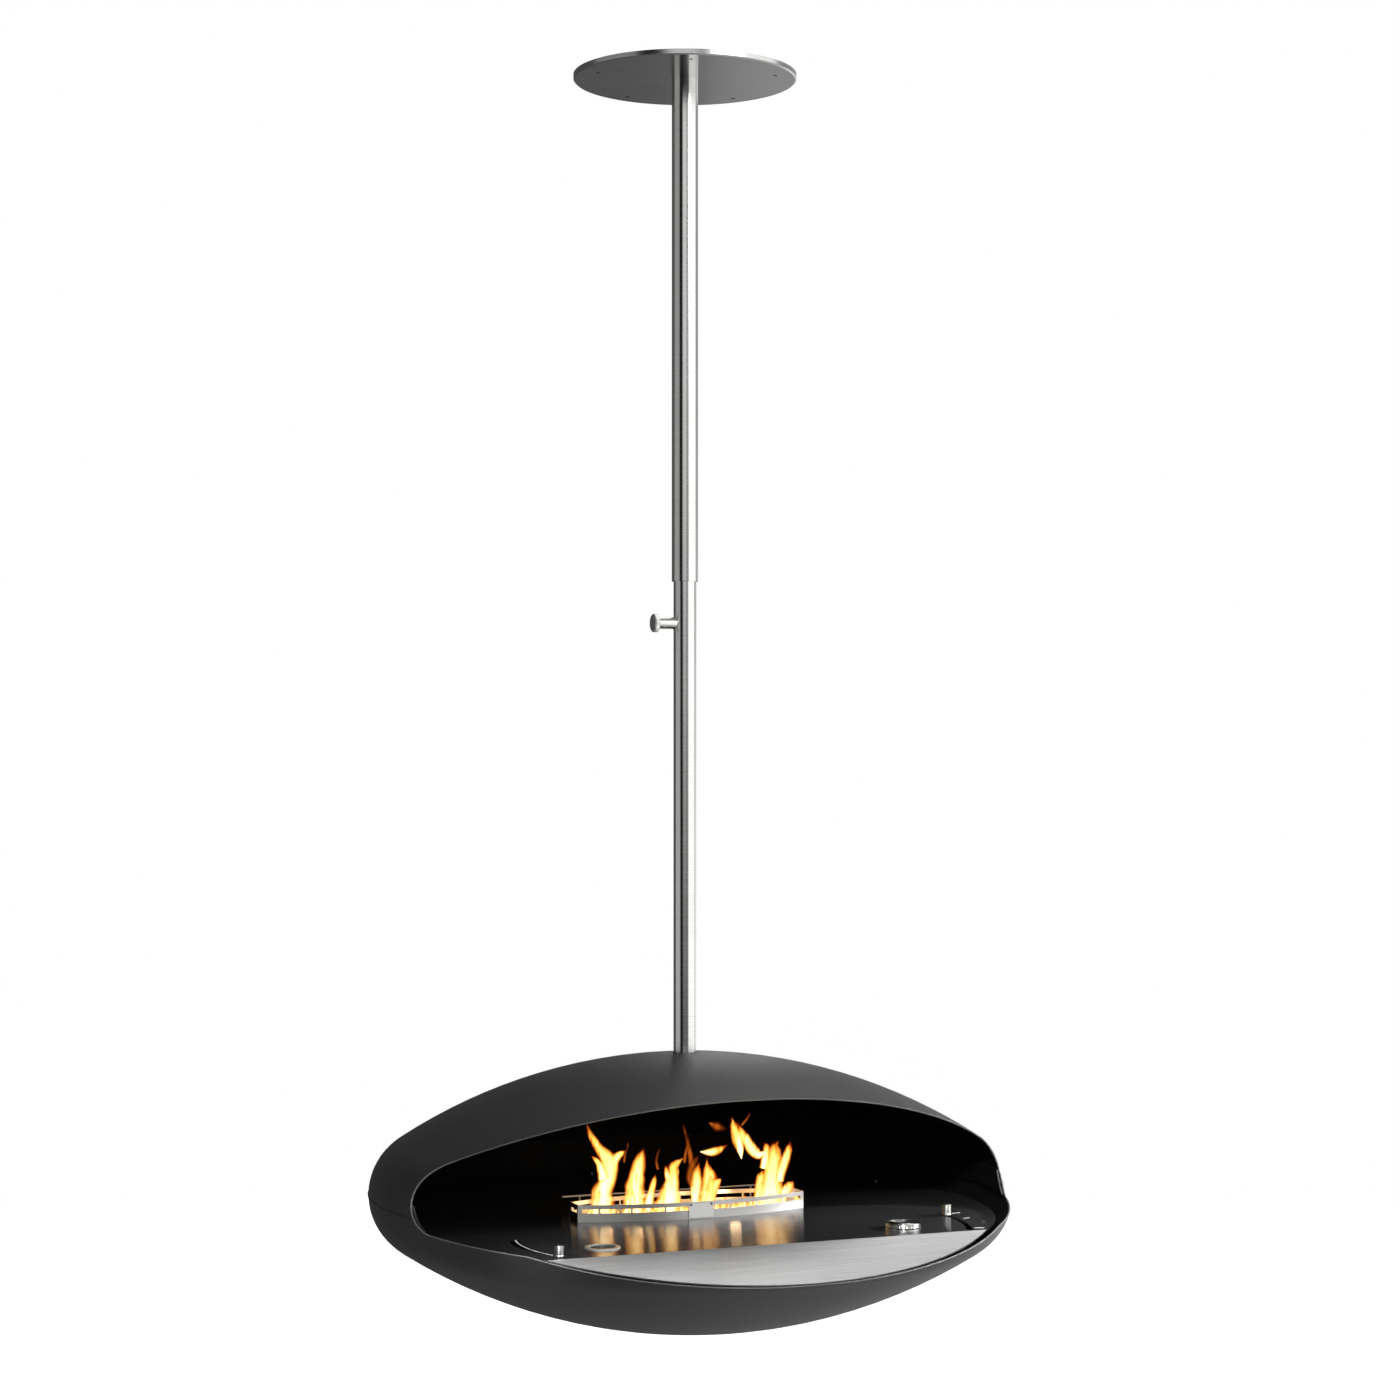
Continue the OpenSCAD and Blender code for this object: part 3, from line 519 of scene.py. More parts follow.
def makeWeld():
    verts = []
    for i in range(weld["around"]):
        angle = 2 * math.pi * i / weld["around"]
        size = weld["bead"] + weld["ripple"] * math.sin(weld["ripples"] * angle)
        for k in range(weld["section"]):
            turn = 2 * math.pi * k / weld["section"]
            r = weld["bossRadius"] + weld["gap"] + size * weld["wide"] * (0.5 + 0.5 * math.cos(turn))
            y, z = r * math.cos(angle), r * math.sin(angle)
            x = -math.sqrt(weld["tubeRadius"] ** 2 - y * y) - size * weld["deep"] * math.sin(turn)
            verts.append(Vector((x, y, z + weld["height"])) / 1000)
    faces = sweepFaces(weld["around"], weld["section"], closed=True)
    newPiece("bossWeld", verts, faces, "drop_pole", polishedSteel)


makeWeld()

# The filler cap: a hollow skirt that drops into the neck, and a ribbed rim
capLook = {
    "middle": tuple(podPoint(244, -255, podShape["floorTop"] + 3)), "axis": (0.0, 0.0, 1.0),
    "segments": 360, "ribs": 36, "ribDepth": 0.35, "ribPower": 2.2,
}
capPiece = makeTurned("fillerCapTurned", [
    (0, -1.0, 0), (17.3, -1.0, 0), (17.5, -1.3, 0), (17.5, -12.6, 0), (17.9, -13, 0), (19.3, -13, 0),
    (19.7, -12.6, 0), (19.7, 0, 0), (25.8, 0, 0), (26.3, 0.2, 0), (26.5, 0.7, 0), (26.5, 1.2, 0.3),
    (26.5, 1.6, 1), (26.5, 4.9, 1), (26.5, 5.3, 0.4), (26.5, 5.6, 0), (26.4, 6.1, 0), (26.0, 6.5, 0),
    (25.4, 6.75, 0), (24.6, 6.8, 0), (22.8, 6.8, 0), (22.4, 6.65, 0), (22.1, 6.3, 0), (20.0, 6.2, 0),
    (6.0, 6.2, 0), (0, 6.2, 0),
], capLook, "cap", satinSteel)
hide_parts("filler_cap")

# The levers' knobs: plain pins with one fine ring line above the lower end
knobProfile = [
    (0, 0, 0), (6.2, 0, 0), (6.7, 0.12, 0), (6.95, 0.4, 0), (7.0, 0.8, 0), (7.0, 2.7, 0), (6.8, 2.85, 0),
    (6.8, 3.15, 0), (7.0, 3.3, 0), (7.0, 15.2, 0), (6.93, 15.6, 0), (6.7, 15.9, 0), (6.3, 16, 0),
    (4.2, 16, 0), (3.9, 15.85, 0), (3.7, 15.6, 0), (1.0, 15.5, 0), (0, 15.5, 0),
]
leverKnobs = {
    "pivot": (110, -187), "segments": 96,
    # side, sign of x, body, angle, radius, gap over the floor
    "sides": [("left", -1, "rear_lever", -26.7, 234, 1.0), ("right", 1, "front_lever", 3.5, 250, 1.5)],
    "flatFrom": 0.7,  # how level a face is to count as flat
}
for side, sign, body, angle, reach, lift in leverKnobs["sides"]:
    turn = math.radians(angle)
    spot = podPoint(sign * (leverKnobs["pivot"][0] + reach * math.cos(turn)),
                    leverKnobs["pivot"][1] + reach * math.sin(turn), podShape["floorTop"] + lift)
    knobLook = {"middle": tuple(spot), "axis": (0.0, 0.0, 1.0), "segments": leverKnobs["segments"]}
    piece = makeTurned(side + "LeverKnob", knobProfile, knobLook, body, satinSteel)
    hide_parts(side + "_knob")
    # flat faces are polished, since the lathe's level cuts are only on the walls
    piece.data.materials.append(polishedSteel)
    for polygon in piece.data.polygons:
        if abs(polygon.normal.z) > leverKnobs["flatFrom"]:
            polygon.material_index = 1

# Painted highlight: a pale line along the inner side of the left knob's slot, thinning along its length and
# wider at its far end, in place of the light caught on the slot's edge
slotHighlightLine = {
    "pivot": (-110, -187), "radius": 228.2, "from": -22.0, "to": 13.5,
    "half": 0.85, "thinning": 0.45, "thick": 0.15,
    "headHalf": 1.0, "headSteps": 2,  # how much wider its far end is, and over how many steps
    "steps": 60, "section": 8,
}


def makeSlotHighlightLine():
    verts = []
    for i in range(slotHighlightLine["steps"] + 1):
        share = i / slotHighlightLine["steps"]
        turn = math.radians(slotHighlightLine["from"] + (slotHighlightLine["to"] - slotHighlightLine["from"]) * share)
        half = slotHighlightLine["half"] * (1.0 - slotHighlightLine["thinning"] * share)
        if i >= slotHighlightLine["steps"] - slotHighlightLine["headSteps"]:
            half += slotHighlightLine["headHalf"]
        for k in range(slotHighlightLine["section"]):
            roll = 2 * math.pi * k / slotHighlightLine["section"]
            r = slotHighlightLine["radius"] + half * math.cos(roll)
            verts.append(podPoint(slotHighlightLine["pivot"][0] - r * math.cos(turn),
                                  slotHighlightLine["pivot"][1] + r * math.sin(turn),
                                  podShape["floorTop"] + slotHighlightLine["thick"] * math.sin(roll)))
    faces = sweepFaces(slotHighlightLine["steps"] + 1, slotHighlightLine["section"])
    # the line's pale ink is a painted highlight
    newPiece("slotHighlightLine", verts, faces, "pod", markInkAndSlotHighlight)


makeSlotHighlightLine()
print("turned pieces made")

# Each tongue: its place in depth, and points up its middle as (x, height over the floor, half width), mm
flames = {
    "leftMain": (0, [(-150, 2, 20), (-150, 22, 20), (-148.8, 40, 17), (-141, 57.9, 14.5), (-138.5, 75.6, 14),
                     (-140, 88.4, 13.5), (-148, 99, 10), (-160.5, 115, 6.6), (-170, 130.8, 4.6),
                     (-174, 141, 3), (-176, 147, 0.8)]),
    "leftHorn": (5, [(-136, 72, 11), (-130, 87, 9.3), (-123, 94, 6.8), (-115.5, 98.6, 4), (-110, 102, 0.8)]),
    "leftSpur": (-6, [(-150, 62, 9), (-152, 72, 8), (-157, 85, 5.4), (-163.5, 92.6, 3.6), (-171, 99, 0.8)]),
    "second": (2, [(-97, 2, 19), (-97, 22, 18.5), (-96, 37, 17), (-94, 55, 15.4), (-91, 73, 12.6),
                   (-87.4, 88, 9.4), (-83.8, 98, 5.5), (-81, 106, 0.8)]),
    "small": (-8, [(-78, 4, 9), (-76, 22, 8), (-73, 34.7, 6), (-70, 47.4, 5), (-67.5, 57.4, 3.8),
                   (-65.5, 65, 0.8)]),
    "third": (0, [(-44, 2, 24), (-41, 19, 21.6), (-38, 34, 17), (-34, 49.3, 11.9), (-32.4, 62, 9.6),
                  (-32.5, 71, 9), (-27.4, 78.5, 6), (-21, 83, 3.4), (-14, 88, 0.8)]),
    "thirdSpur": (4, [(-38, 52, 6), (-41, 62, 5), (-43, 70, 3.4), (-45, 77, 0.8)]),
    "fourth": (-2, [(22, 2, 14), (23, 15, 13.5), (25, 28, 14), (27, 41, 14), (27, 54, 12), (24.7, 64.4, 9),
                    (23.6, 73.5, 5), (24.2, 86, 0.8)]),
    "fourthLobe": (-6, [(27, 30, 12), (34, 42, 10), (41, 48.5, 5.4), (46, 52, 0.8)]),
    "fourthShade": (8, [(6, 10, 7), (7.5, 24, 8), (8.7, 38, 9.5), (9.8, 53.5, 9), (11, 66, 6),
                        (14, 78, 0.8)]),
    "loose": (4, [(15, 94, 0.8), (25.8, 92.5, 4.6), (37, 92.7, 6.6), (48, 96, 5.2), (60.5, 103, 0.8)]),
    "tall": (0, [(83, 80, 0.8), (80.4, 94.8, 6), (76.2, 110.6, 9), (71.9, 123.8, 8.2), (69, 134.3, 5.2),
                 (66, 147, 0.8)]),
    "tallBand": (-3, [(123, 90, 0.8), (110.3, 84.5, 7.4), (98.9, 95.5, 9), (89, 110.3, 8), (80.6, 125, 5),
                      (74.4, 140, 0.8)]),
    "rightMain": (0, [(130, 2, 26), (131.4, 11, 27), (132.9, 26.8, 24), (134.3, 42.4, 18.8),
                      (136.3, 58, 15.5), (138, 73.5, 14.5), (139.2, 88, 12.6), (141.4, 98, 7.6),
                      (147, 105, 0.8)]),
    "rightBand": (3, [(122, 62, 7), (125, 76, 8), (127, 88, 7), (126, 97, 5), (122, 103, 0.8)]),
    "rightHorn": (-4, [(146, 42, 8), (148, 52.6, 7.8), (154, 68, 7.8), (159, 83.4, 7), (162.6, 95, 4.8),
                       (165, 105, 0.8)]),
    "rightBump": (4, [(115, 6, 12), (116, 22, 11.4), (116, 37.6, 9.7), (118, 50.6, 7), (121, 60, 0.8)]),
    "rightLump": (-10, [(147, 6, 8), (150, 19.4, 8.4), (155.6, 29.5, 9), (162, 36, 7.6), (168, 42, 0.8)]),
    "leftFoot": (-10, [(-163, 2, 7), (-166, 14, 6.5), (-165, 27, 5.5), (-160, 40, 4), (-156, 50, 0.8)]),
    "leftToe": (-12, [(-176, 2, 4.5), (-177, 9, 4), (-173, 17, 3), (-168, 24, 0.8)]),
    "secondFoot": (-10, [(-116, 2, 5), (-113, 16, 5), (-109, 32, 4.5), (-106, 50, 3.6), (-105, 66, 0.8)]),
    "thirdFoot": (-9, [(-60, 2, 6), (-58, 14, 5.5), (-54, 27, 4.6), (-50, 40, 3), (-48, 50, 0.8)]),
    "fourthHeart": (-10, [(22, 2, 8), (23, 14, 8.6), (26, 27, 9.4), (28, 40, 8.4), (27, 52, 5),
                          (26, 62, 0.8)]),
    "fourthFoot": (-8, [(4, 2, 5), (4, 10, 4.6), (7, 19, 3.6), (10, 27, 0.8)]),
    "rightFoot": (-12, [(104, 2, 6), (103, 12, 6), (106, 26, 5.4), (111, 38, 3.6), (114, 48, 0.8)]),
    "rightToe": (-12, [(172, 2, 5), (173, 10, 4.6), (171, 18, 3.4), (167, 26, 0.8)]),
    "paleBlob": (-14, [(-106, 6, 5), (-105.7, 24.7, 5), (-105.5, 32.4, 4.8), (-105, 38.7, 3),
                       (-104, 45, 0.8)]),
}
# Thin dark gas that has nearly burnt out, over the flames
wisps = {
    "middleWisp": (6, [(-11, 78, 2.5), (-9, 92, 3.4), (-6, 106, 3.2), (-9, 120, 2.8), (-13, 133, 2),
                       (-16, 143, 0.8)]),
    "middleVeil": (8, [(2, 70, 5), (0, 84, 6), (-3, 98, 5), (-4, 110, 3), (-2, 122, 0.8)]),
    "thirdWisp": (5, [(-56, 70, 2.4), (-59, 82, 3), (-57, 94, 2.4), (-52, 104, 0.8)]),
    "rightWisp": (4, [(84, 132, 2), (90, 138, 2.6), (96, 146, 1.8), (99, 153, 0.8)]),
    "fourthWing": (7, [(2, 40, 4), (-2, 52, 6), (-1, 64, 7), (5, 76, 6), (12, 86, 3), (16, 94, 0.8)]),
    "puff": (2, [(29, 139, 0.8), (37.6, 134.3, 6.4), (44.6, 131.4, 7.8), (54.5, 128.3, 4.6),
                 (61, 126, 0.8)]),
    "puffCore": (2, [(38, 136, 0.8), (43, 132, 5), (50, 130, 4.4), (57, 127.5, 0.8)]),
    "leftWisp": (6, [(-112, 84, 2), (-110, 96, 2.6), (-106, 108, 2), (-107, 118, 0.8)]),
}
flameLook = {
    "around": 16, "between": 6, "fewestRings": 6,
    "flat": 0.5,  # depth of a tongue as a share of its width
    "shift": 3.5,  # of all tongues to the right, in millimetres
    # share of the width and of the height of each skin, from the outside in
    "skins": [(1.06, 1.0), (0.99, 0.99), (0.9, 0.97), (0.76, 0.94), (0.58, 0.9), (0.38, 0.84)],
    "wispSkins": [(1.2, 1.0), (0.85, 0.97), (0.5, 0.9)],
    "tipTaper": 6, "tipShare": 0.08, "leastHalf": 0.5,
    # how far each tongue sways in depth and wobbles in width, and how fast both change with height
    "sway": 3.0, "swayFoot": 0.3, "swayPace": 0.03, "wobble": 0.2, "wobblePace": 0.075,
    # places in the noise field: tongues stand apart in it, so that no two sway or wobble alike
    "swayApart": 3.1, "swaySlice": 0.5, "wobbleApart": 5.3, "wobbleRound": 1.4,
}
# Small tongues that cover the burner's slot, in millimetres
flameBed = {
    "count": 56, "seed": 11, "from": -146, "long": 292, "jitter": 0.4,
    "tall": (9, 24), "wide": (3.5, 7), "lean": 4, "deep": 15, "foot": -2, "tip": 0.6,
    "body": [(0, 0.3, 0.95), (0.4, 0.65, 0.6)],  # shares of its lean, height and half width on the way up
}


def smoothLine(points, between):  # Catmull-Rom through the points
    line = []
    for i in range(len(points) - 1):
        p0, p1 = points[max(i - 1, 0)], points[i]
        p2, p3 = points[i + 1], points[min(i + 2, len(points) - 1)]
        for k in range(between):
            t = k / between
            line.append([0.5 * (2 * b + (c - a) * t + (2 * a - 5 * b + 4 * c - d) * t * t
                                + (3 * b - a - 3 * c + d) * t ** 3)
                         for a, b, c, d in zip(p0, p1, p2, p3)])
    line.append(list(points[-1]))
    return line


def bedTongues(look):
    dice = random.Random(look["seed"])
    tongues = {}
    for i in range(look["count"]):
        nudge = dice.uniform(-look["jitter"], look["jitter"])
        x = look["from"] + look["long"] * (i + nudge) / (look["count"] - 1)
        tall = dice.uniform(*look["tall"])
        lean = dice.uniform(-look["lean"], look["lean"])
        wide = dice.uniform(*look["wide"])
        depth = dice.uniform(-look["deep"], look["deep"])
        body = [(x + lean * a, tall * b, wide * c) for a, b, c in look["body"]]
        tongues["bed%d" % i] = (depth, [(x, look["foot"], wide), *body, (x + lean, tall, look["tip"])])
    return tongues


# One ring of a tongue: where it is on the line, how wide its skin is there, and which tongue it is
def flameRing(line, i, depth, scale, number):
    look = flameLook
    x, z, half = line[i]
    share = i / (len(line) - 1)
    ahead, behind = line[min(i + 1, len(line) - 1)], line[max(i - 1, 0)]
    run = Vector((ahead[0] - behind[0], 0, ahead[1] - behind[1])).normalized()
    across = Vector((run.z, 0, -run.x))
    swaySpot = Vector((number * look["swayApart"], z * look["swayPace"], look["swaySlice"]))
    sway = look["sway"] * noise.noise(swaySpot) * (look["swayFoot"] + share)
    middle = Vector((x + look["shift"], depth + sway, z + podShape["floorTop"]))
    wide = max(half, look["leastHalf"]) * scale
    ring = []
    for k in range(look["around"]):
        angle = 2 * math.pi * k / look["around"]
        wobbleSpot = Vector((number * look["wobbleApart"] + look["wobbleRound"] * math.cos(angle),
                             z * look["wobblePace"], look["wobbleRound"] * math.sin(angle)))
        reach = wide * (1 + look["wobble"] * noise.noise(wobbleSpot))
        p = middle + across * reach * math.cos(angle)
        p += Vector((0, 1, 0)) * reach * look["flat"] * math.sin(angle)
        ring.append(podPoint(*p))
    return ring


def makeFlameSkins(name, skins, finish, tongues):  # one skin inside the other, hotter towards the middle
    verts, faces, heats, cores = [], [], [], []
    around = flameLook["around"]
    for layer, (widthShare, heightShare) in enumerate(skins):
        for number, (depth, points) in enumerate(tongues.values()):
            line = smoothLine(points, flameLook["between"])
            line = line[:max(int(len(line) * heightShare), flameLook["fewestRings"])]
            faces += sweepFaces(len(line), around, len(verts))
            for i in range(len(line)):
                share = i / (len(line) - 1)
                scale = widthShare
                if heightShare < 1:  # a shortened skin ends in a point of its own
                    scale *= min(1.0, (1 - share) * flameLook["tipTaper"] + flameLook["tipShare"])
                verts += flameRing(line, i, depth, scale, number)
                heats += [share] * around
                cores += [layer / (len(skins) - 1)] * around
    piece = newPiece(name, verts, faces, "pod", finish)
    for kind, values in (("rise", heats), ("core", cores)):
        mark = piece.data.attributes.new(kind, "FLOAT", "POINT")
        mark.data.foreach_set("value", values)
    piece.visible_shadow = False


def makeFlameFinish(name, look):
    finish, tree, shader = newFinish(name, {
        "Base Color": hexToLinear("#000000"), "Specular IOR Level": 0.0, "Roughness": 1.0,
    })
    place = addNode(tree, "TexCoord")
    # strands of gas 7 mm wide and 33 mm tall
    stretch = addNode(tree, "Mapping", {"Scale": (150.0, 150.0, 30.0)}, {"Vector": place.outputs["Object"]})
    strands = addNode(tree, "TexNoise", {"Scale": 1.0, "Detail": 2.5, "Distortion": 0.8},
                      {"Vector": stretch.outputs["Vector"]})
    rise = addNode(tree, "Attribute", {"attribute_name": "rise"})
    core = addNode(tree, "Attribute", {"attribute_name": "core"})
    # how hot: hottest in the heart, cooler towards the tip, and uneven in strands
    cooling = addNode(tree, "MapRange", {"From Min": 0.25, "From Max": 1.0, "To Min": 1.0,
                                         "To Max": look["tip"]}, {"Value": rise.outputs["Fac"]})
    inner = addNode(tree, "Math", {"operation": "MULTIPLY"},
                    {0: core.outputs["Fac"], 1: cooling.outputs["Result"]})
    uneven = addNode(tree, "MapRange", {"From Min": 0.3, "From Max": 0.7, "To Min": -0.2, "To Max": 0.2},
                     {"Value": strands.outputs["Fac"]})
    heat = addNode(tree, "Math", {"operation": "ADD"},
                   {0: inner.outputs["Value"], 1: uneven.outputs["Result"]})
    colour = toneRamp(tree, heat.outputs["Value"], look["colours"])
    power = addNode(tree, "MapRange", {"To Min": look["power"][0], "To Max": look["power"][1]},
                    {"Value": heat.outputs["Value"]})
    # how dense: thin between the strands and towards the tip
    cover = toneRamp(tree, core.outputs["Fac"], look["cover"])
    thin = addNode(tree, "MapRange", {"From Min": 0.32, "From Max": 0.6, "To Min": look["thin"],
                                      "To Max": 1.0}, {"Value": strands.outputs["Fac"]})
    fade = addNode(tree, "MapRange", {"From Min": 0.5, "From Max": 1.0, "To Min": 1.0,
                                      "To Max": look["fade"]}, {"Value": rise.outputs["Fac"]})
    partly = addNode(tree, "Math", {"operation": "MULTIPLY"},
                     {0: cover.outputs["Color"], 1: thin.outputs["Result"]})
    whole = addNode(tree, "Math", {"operation": "MULTIPLY"},
                    {0: partly.outputs["Value"], 1: fade.outputs["Result"]})
    tree.links.new(colour.outputs["Color"], shader.inputs["Emission Color"])
    tree.links.new(power.outputs["Result"], shader.inputs["Emission Strength"])
    tree.links.new(whole.outputs["Value"], shader.inputs["Alpha"])
    # the small lamps in the burner give its light, so it isn't sampled as a lamp itself
    finish.cycles.emission_sampling = "NONE"
    return finish


# Burning ethanol: red-orange gas at the rim of each tongue, then yellow, and an almost white heart
burningGas = makeFlameFinish("burningEthanolGas", {
    "colours": [(0.0, "#c23a05"), (0.18, "#f06c12"), (0.38, "#ffab38"), (0.64, "#ffd772"),
                (0.9, "#fff3c6")],
    "power": (1.0, 3.7),
    "cover": [(0.0, 0.07), (0.2, 0.16), (0.4, 0.26), (0.6, 0.38), (0.8, 0.5), (1.0, 0.7)],
    "thin": 0.45, "tip": 0.5, "fade": 0.5})
# Gas that is going out: orange-brown and almost clear
fadingGas = makeFlameFinish("fadingEthanolGas", {
    "colours": [(0.0, "#4d1505"), (0.4, "#8a300b"), (0.8, "#d8701e")],
    "power": (0.5, 1.3), "cover": [(0.0, 0.14), (1.0, 0.36)], "thin": 0.2, "tip": 0.5, "fade": 0.3})
tongues = {**flames, **bedTongues(flameBed)}
makeFlameSkins("flameTongues", flameLook["skins"], burningGas, tongues)
makeFlameSkins("flameWisps", flameLook["wispSkins"], fadingGas, wisps)
scene.cycles.transparent_max_bounces = 64  # a ray crosses many clear skins
scene.cycles.caustics_reflective = False  # no stray specks of lamp light on the floor
print("flames made:", len(tongues), "tongues")

# The camera, fitted to the photograph: aim holds its heading, and pitch is in radians
cameraLook = {
    "place": (-1.6831, -4.2294, -1.057), "aim": (0.3746, 0.9272), "pitch": 0.0155,
    "lens": 74.4, "sensor": 36.0,
}
camera = bpy.data.objects.new("photoCamera", bpy.data.cameras.new("photoCamera"))
scene.collection.objects.link(camera)
camera.data.lens = cameraLook["lens"]
camera.data.sensor_width = cameraLook["sensor"]
camera.location = cameraLook["place"]
aim = Vector((cameraLook["aim"][0], cameraLook["aim"][1], math.tan(cameraLook["pitch"]))).normalized()
camera.rotation_euler = aim.to_track_quat("-Z", "Y").to_euler()
scene.camera = camera

# The studio's floor, far below: pale matt vinyl that glows evenly and lifts the pod's underside
floorLook = {"height": -3.6, "radius": 12.0, "segments": 96, "tones": ("#f0efed", "#f3f2f0"), "glow": 0.9}


def makeStudioFloor(look):
    finish, tree, shader = newFinish("paleStudioFloor", {
        "Roughness": 0.7, "Emission Color": hexToLinear("#ffffff"), "Emission Strength": look["glow"]})
    place = addNode(tree, "TexCoord")
    speck = addNode(tree, "TexNoise", {"Scale": 3.0, "Detail": 2.0}, {"Vector": place.outputs["Object"]})
    tone = toneRamp(tree, speck.outputs["Fac"], list(zip((0.3, 0.7), look["tones"])))
    tree.links.new(tone.outputs["Color"], shader.inputs["Base Color"])
    work = bmesh.new()
    bmesh.ops.create_circle(work, cap_ends=True, radius=look["radius"], segments=look["segments"])
    mesh = bpy.data.meshes.new("studioFloor")
    work.to_mesh(mesh)
    work.free()
    mesh.materials.append(finish)
    disc = bpy.data.objects.new("studioFloor", mesh)
    disc.location = (0, 0, look["height"])
    scene.collection.objects.link(disc)
    disc.visible_glossy = False


makeStudioFloor(floorLook)

# Studio round the object: panels by their bearing from the camera's side, right is positive, in degrees
studio = {
    "towardsCamera": (-0.3746, -0.9272), "towardsRight": (0.9272, -0.3746),
    # what stands just over the level of the lens, and what stands just under it
    "high": [(-180, 0.1), (-108, 0.1), (-98, 0.36), (-52, 0.38), (-46, 0.008), (-25, 0.008), (-13, 0.95),
             (10, 0.95), (17, 0.45), (29, 0.45), (39, 1.6), (104, 1.6), (112, 0.4), (180, 0.4)],
    "low": [(-180, 0.12), (-108, 0.08), (-98, 0.58), (-50, 0.56), (-44, 0.008), (-8, 0.008), (0, 0.03),
            (14, 0.05), (22, 0.08), (32, 0.2), (42, 1.5), (102, 1.5), (112, 1.0), (145, 1.3), (168, 0.9),
            (180, 0.3)],
    # the ceiling's brightness, and the floor's from left to right
    "above": 0.4, "below": [(0.0, 0.1), (0.45, 0.2), (0.62, 0.6), (1.0, 0.7)],
    # upward shares of a direction, between which one zone turns into the next
    "lensBand": (-0.07, 0.09), "ceilingBand": (0.55, 0.8), "floorBand": (-0.35, -0.6),
}


def makeStudio():
    world = bpy.data.worlds.new("studio")
    scene.world = world
    world.use_nodes = True
    tree = world.node_tree
    tree.nodes.clear()
    place = addNode(tree, "TexCoord")
    ahead, right = [
        addNode(tree, "VectorMath", {"operation": "DOT_PRODUCT", 1: (*studio[way], 0.0)},
                {0: place.outputs["Generated"]})
        for way in ("towardsCamera", "towardsRight")]
    bearing = addNode(tree, "Math", {"operation": "ARCTAN2"},
                      {0: right.outputs["Value"], 1: ahead.outputs["Value"]})
    spread = addNode(tree, "MapRange", {"From Min": -math.pi, "From Max": math.pi},
                     {"Value": bearing.outputs["Value"]})
    high, low = [toneRamp(tree, spread.outputs["Result"], [((a + 180) / 360, b) for a, b in studio[name]])
                 for name in ("high", "low")]
    height = addNode(tree, "SeparateXYZ", links={"Vector": place.outputs["Generated"]})
    upwards, ceilingShare, floorShare = [
        addNode(tree, "MapRange", {"From Min": studio[band][0], "From Max": studio[band][1],
                                   "interpolation_type": kind}, {"Value": height.outputs["Z"]})
        for band, kind in (("lensBand", "LINEAR"), ("ceilingBand", "SMOOTHSTEP"),
                           ("floorBand", "SMOOTHSTEP"))]
    panels = addNode(tree, "Mix", {"data_type": "RGBA"}, {
        "Factor": upwards.outputs["Result"], 6: low.outputs["Color"], 7: high.outputs["Color"]})
    sideways = addNode(tree, "MapRange", {"From Min": -1.0, "From Max": 1.0},
                       {"Value": right.outputs["Value"]})
    below = toneRamp(tree, sideways.outputs["Result"], studio["below"])
    upper = addNode(tree, "Mix", {"data_type": "RGBA", 7: (studio["above"],) * 3 + (1.0,)}, {
        "Factor": ceilingShare.outputs["Result"], 6: panels.outputs[2]})
    lower = addNode(tree, "Mix", {"data_type": "RGBA"}, {
        "Factor": floorShare.outputs["Result"], 6: upper.outputs[2], 7: below.outputs["Color"]})
    # the background itself shows white, as in the photograph
    seen = addNode(tree, "LightPath")
    shown = addNode(tree, "Mix", {"data_type": "RGBA", 7: (1.0, 1.0, 1.0, 1.0)}, {
        "Factor": seen.outputs["Is Camera Ray"], 6: lower.outputs[2]})
    sky = addNode(tree, "Background", links={"Color": shown.outputs[2]})
    addNode(tree, "OutputWorld", links={"Surface": sky.outputs["Background"]})


makeStudio()

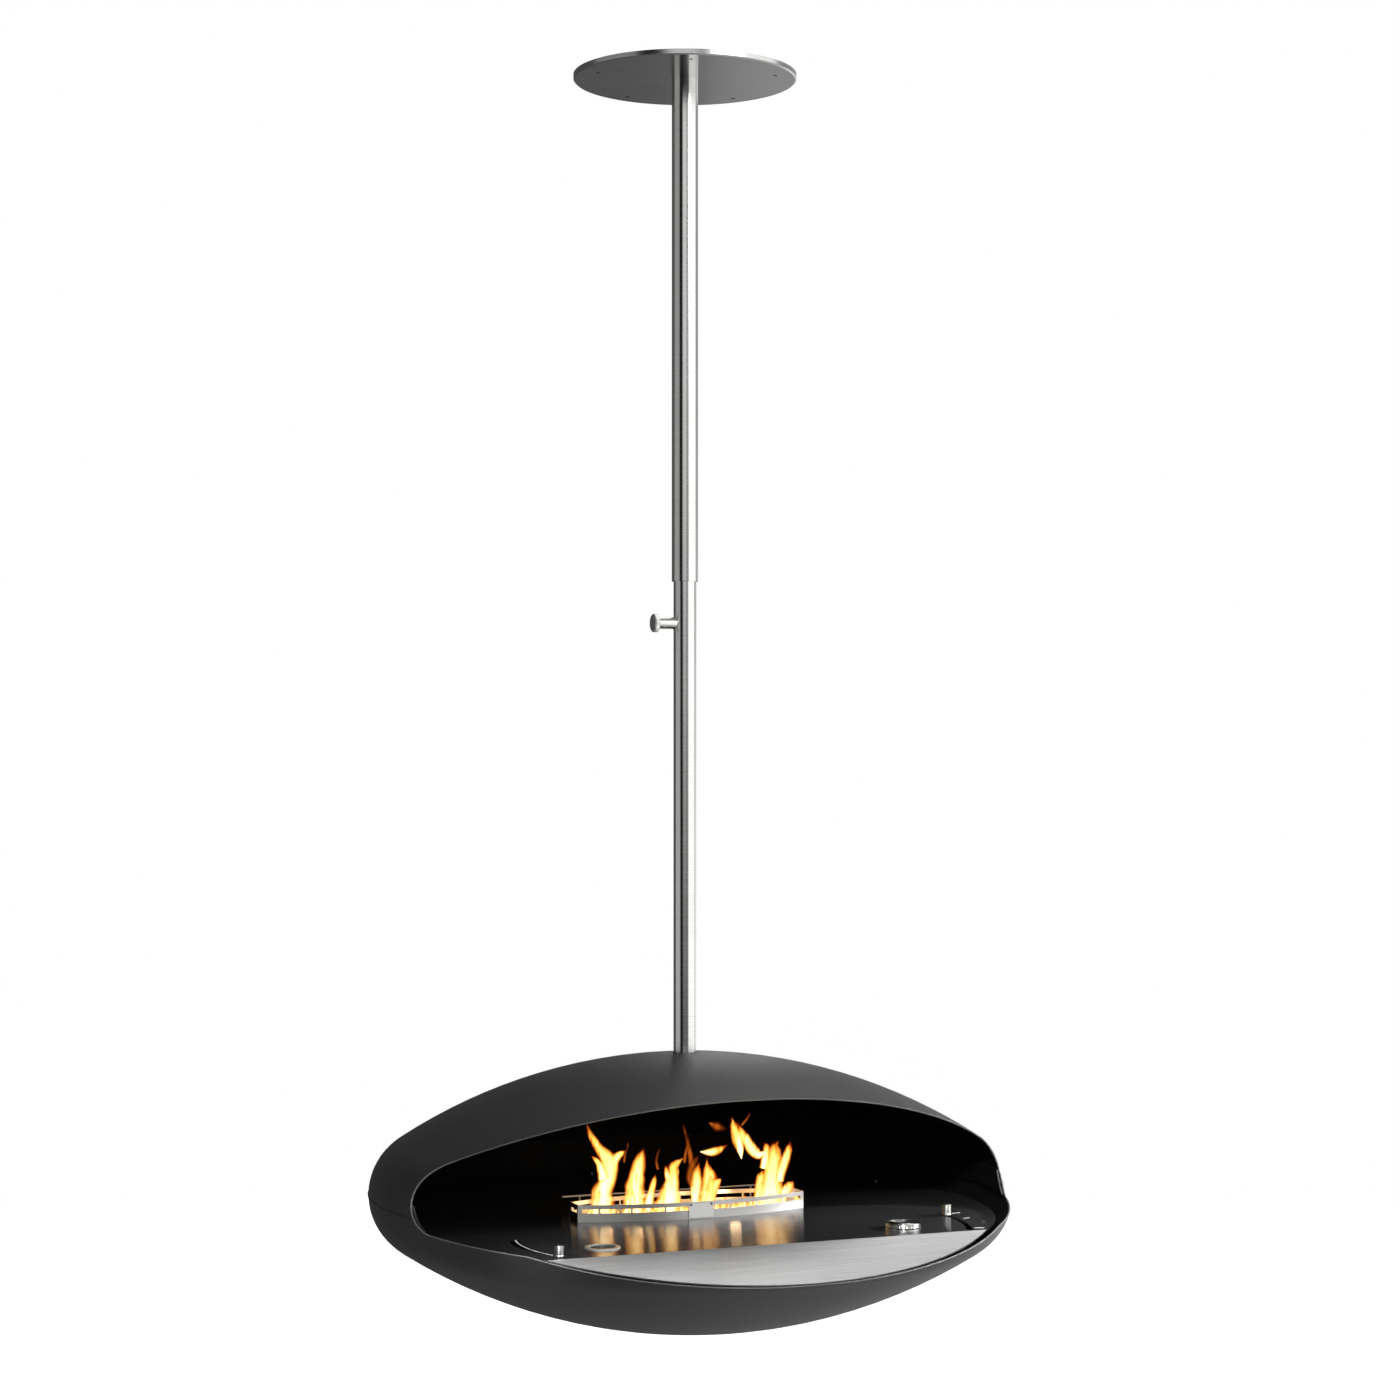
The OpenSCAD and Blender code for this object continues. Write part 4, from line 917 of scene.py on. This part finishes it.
# Soft boxes: bearing and rise as seen from aim, in degrees, with sizes and distances in metres
softBoxes = [
    {"name": "backBox", "bearing": 178, "rise": 15, "distance": 8.5, "size": (0.6, 0.8), "watts": 15,
     "aim": (0.0, 0.0, -1.55)},
    {"name": "topBox", "bearing": 150, "rise": 62, "distance": 3.5, "size": (1.6, 1.6), "watts": 25,
     "aim": (0.0, 0.0, -1.55)},
    {"name": "frontBox", "bearing": 45, "rise": 42, "distance": 3.5, "size": (1.6, 0.5), "watts": 9,
     "aim": (0.0, -0.35, -1.8)},
    {"name": "sideBox", "bearing": -5, "rise": 30, "distance": 2.4, "size": (0.25, 0.25), "watts": 0.6,
     "aim": (0.36, -0.26, -1.79), "spread": 14},
    {"name": "rightBox", "bearing": 92, "rise": 22, "distance": 3.5, "size": (0.3, 0.3), "watts": 2.4,
     "aim": (0.42, -0.22, -1.79), "spread": 14},
    {"name": "knobBox", "bearing": -5, "rise": 30, "distance": 2.4, "size": (0.1, 0.1), "watts": 0.12,
     "aim": (-0.35, -0.34, -1.78), "spread": 4},
]
for box in softBoxes:
    lamp = bpy.data.lights.new(box["name"], "AREA")
    lamp.shape = "RECTANGLE"
    lamp.size, lamp.size_y = box["size"]
    lamp.energy = box["watts"]
    lamp.spread = math.radians(box.get("spread", 180))
    holder = bpy.data.objects.new(box["name"], lamp)
    flat = math.radians(box["bearing"])
    rise = math.radians(box["rise"])
    toCamera = Vector((*studio["towardsCamera"], 0.0))
    toRight = Vector((*studio["towardsRight"], 0.0))
    way = (toCamera * math.cos(flat) + toRight * math.sin(flat)) * math.cos(rise)
    way += Vector((0, 0, math.sin(rise)))
    holder.location = Vector(box["aim"]) + way * box["distance"]
    holder.rotation_euler = (-way).to_track_quat("-Z", "Y").to_euler()
    holder.visible_camera = False
    scene.collection.objects.link(holder)

# Small warm lamps in the burner that stand for the flames' own light, in millimetres over the floor
flameLamps = {
    "places": (-140, -90, -35, 20, 75, 130), "height": 22, "radius": 10, "watts": 0.05, "tone": "#ffcf9a",
}
for x in flameLamps["places"]:
    lamp = bpy.data.lights.new("flameLamp%d" % x, "POINT")
    lamp.energy = flameLamps["watts"]
    lamp.color = hexToLinear(flameLamps["tone"])[:3]
    lamp.shadow_soft_size = flameLamps["radius"] / 1000
    holder = bpy.data.objects.new(lamp.name, lamp)
    holder.location = podPoint(x, 0, podShape["floorTop"] + flameLamps["height"])
    scene.collection.objects.link(holder)
    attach(holder, "pod")
scene.view_settings.view_transform = "Standard"
print("camera, stage and lights set")
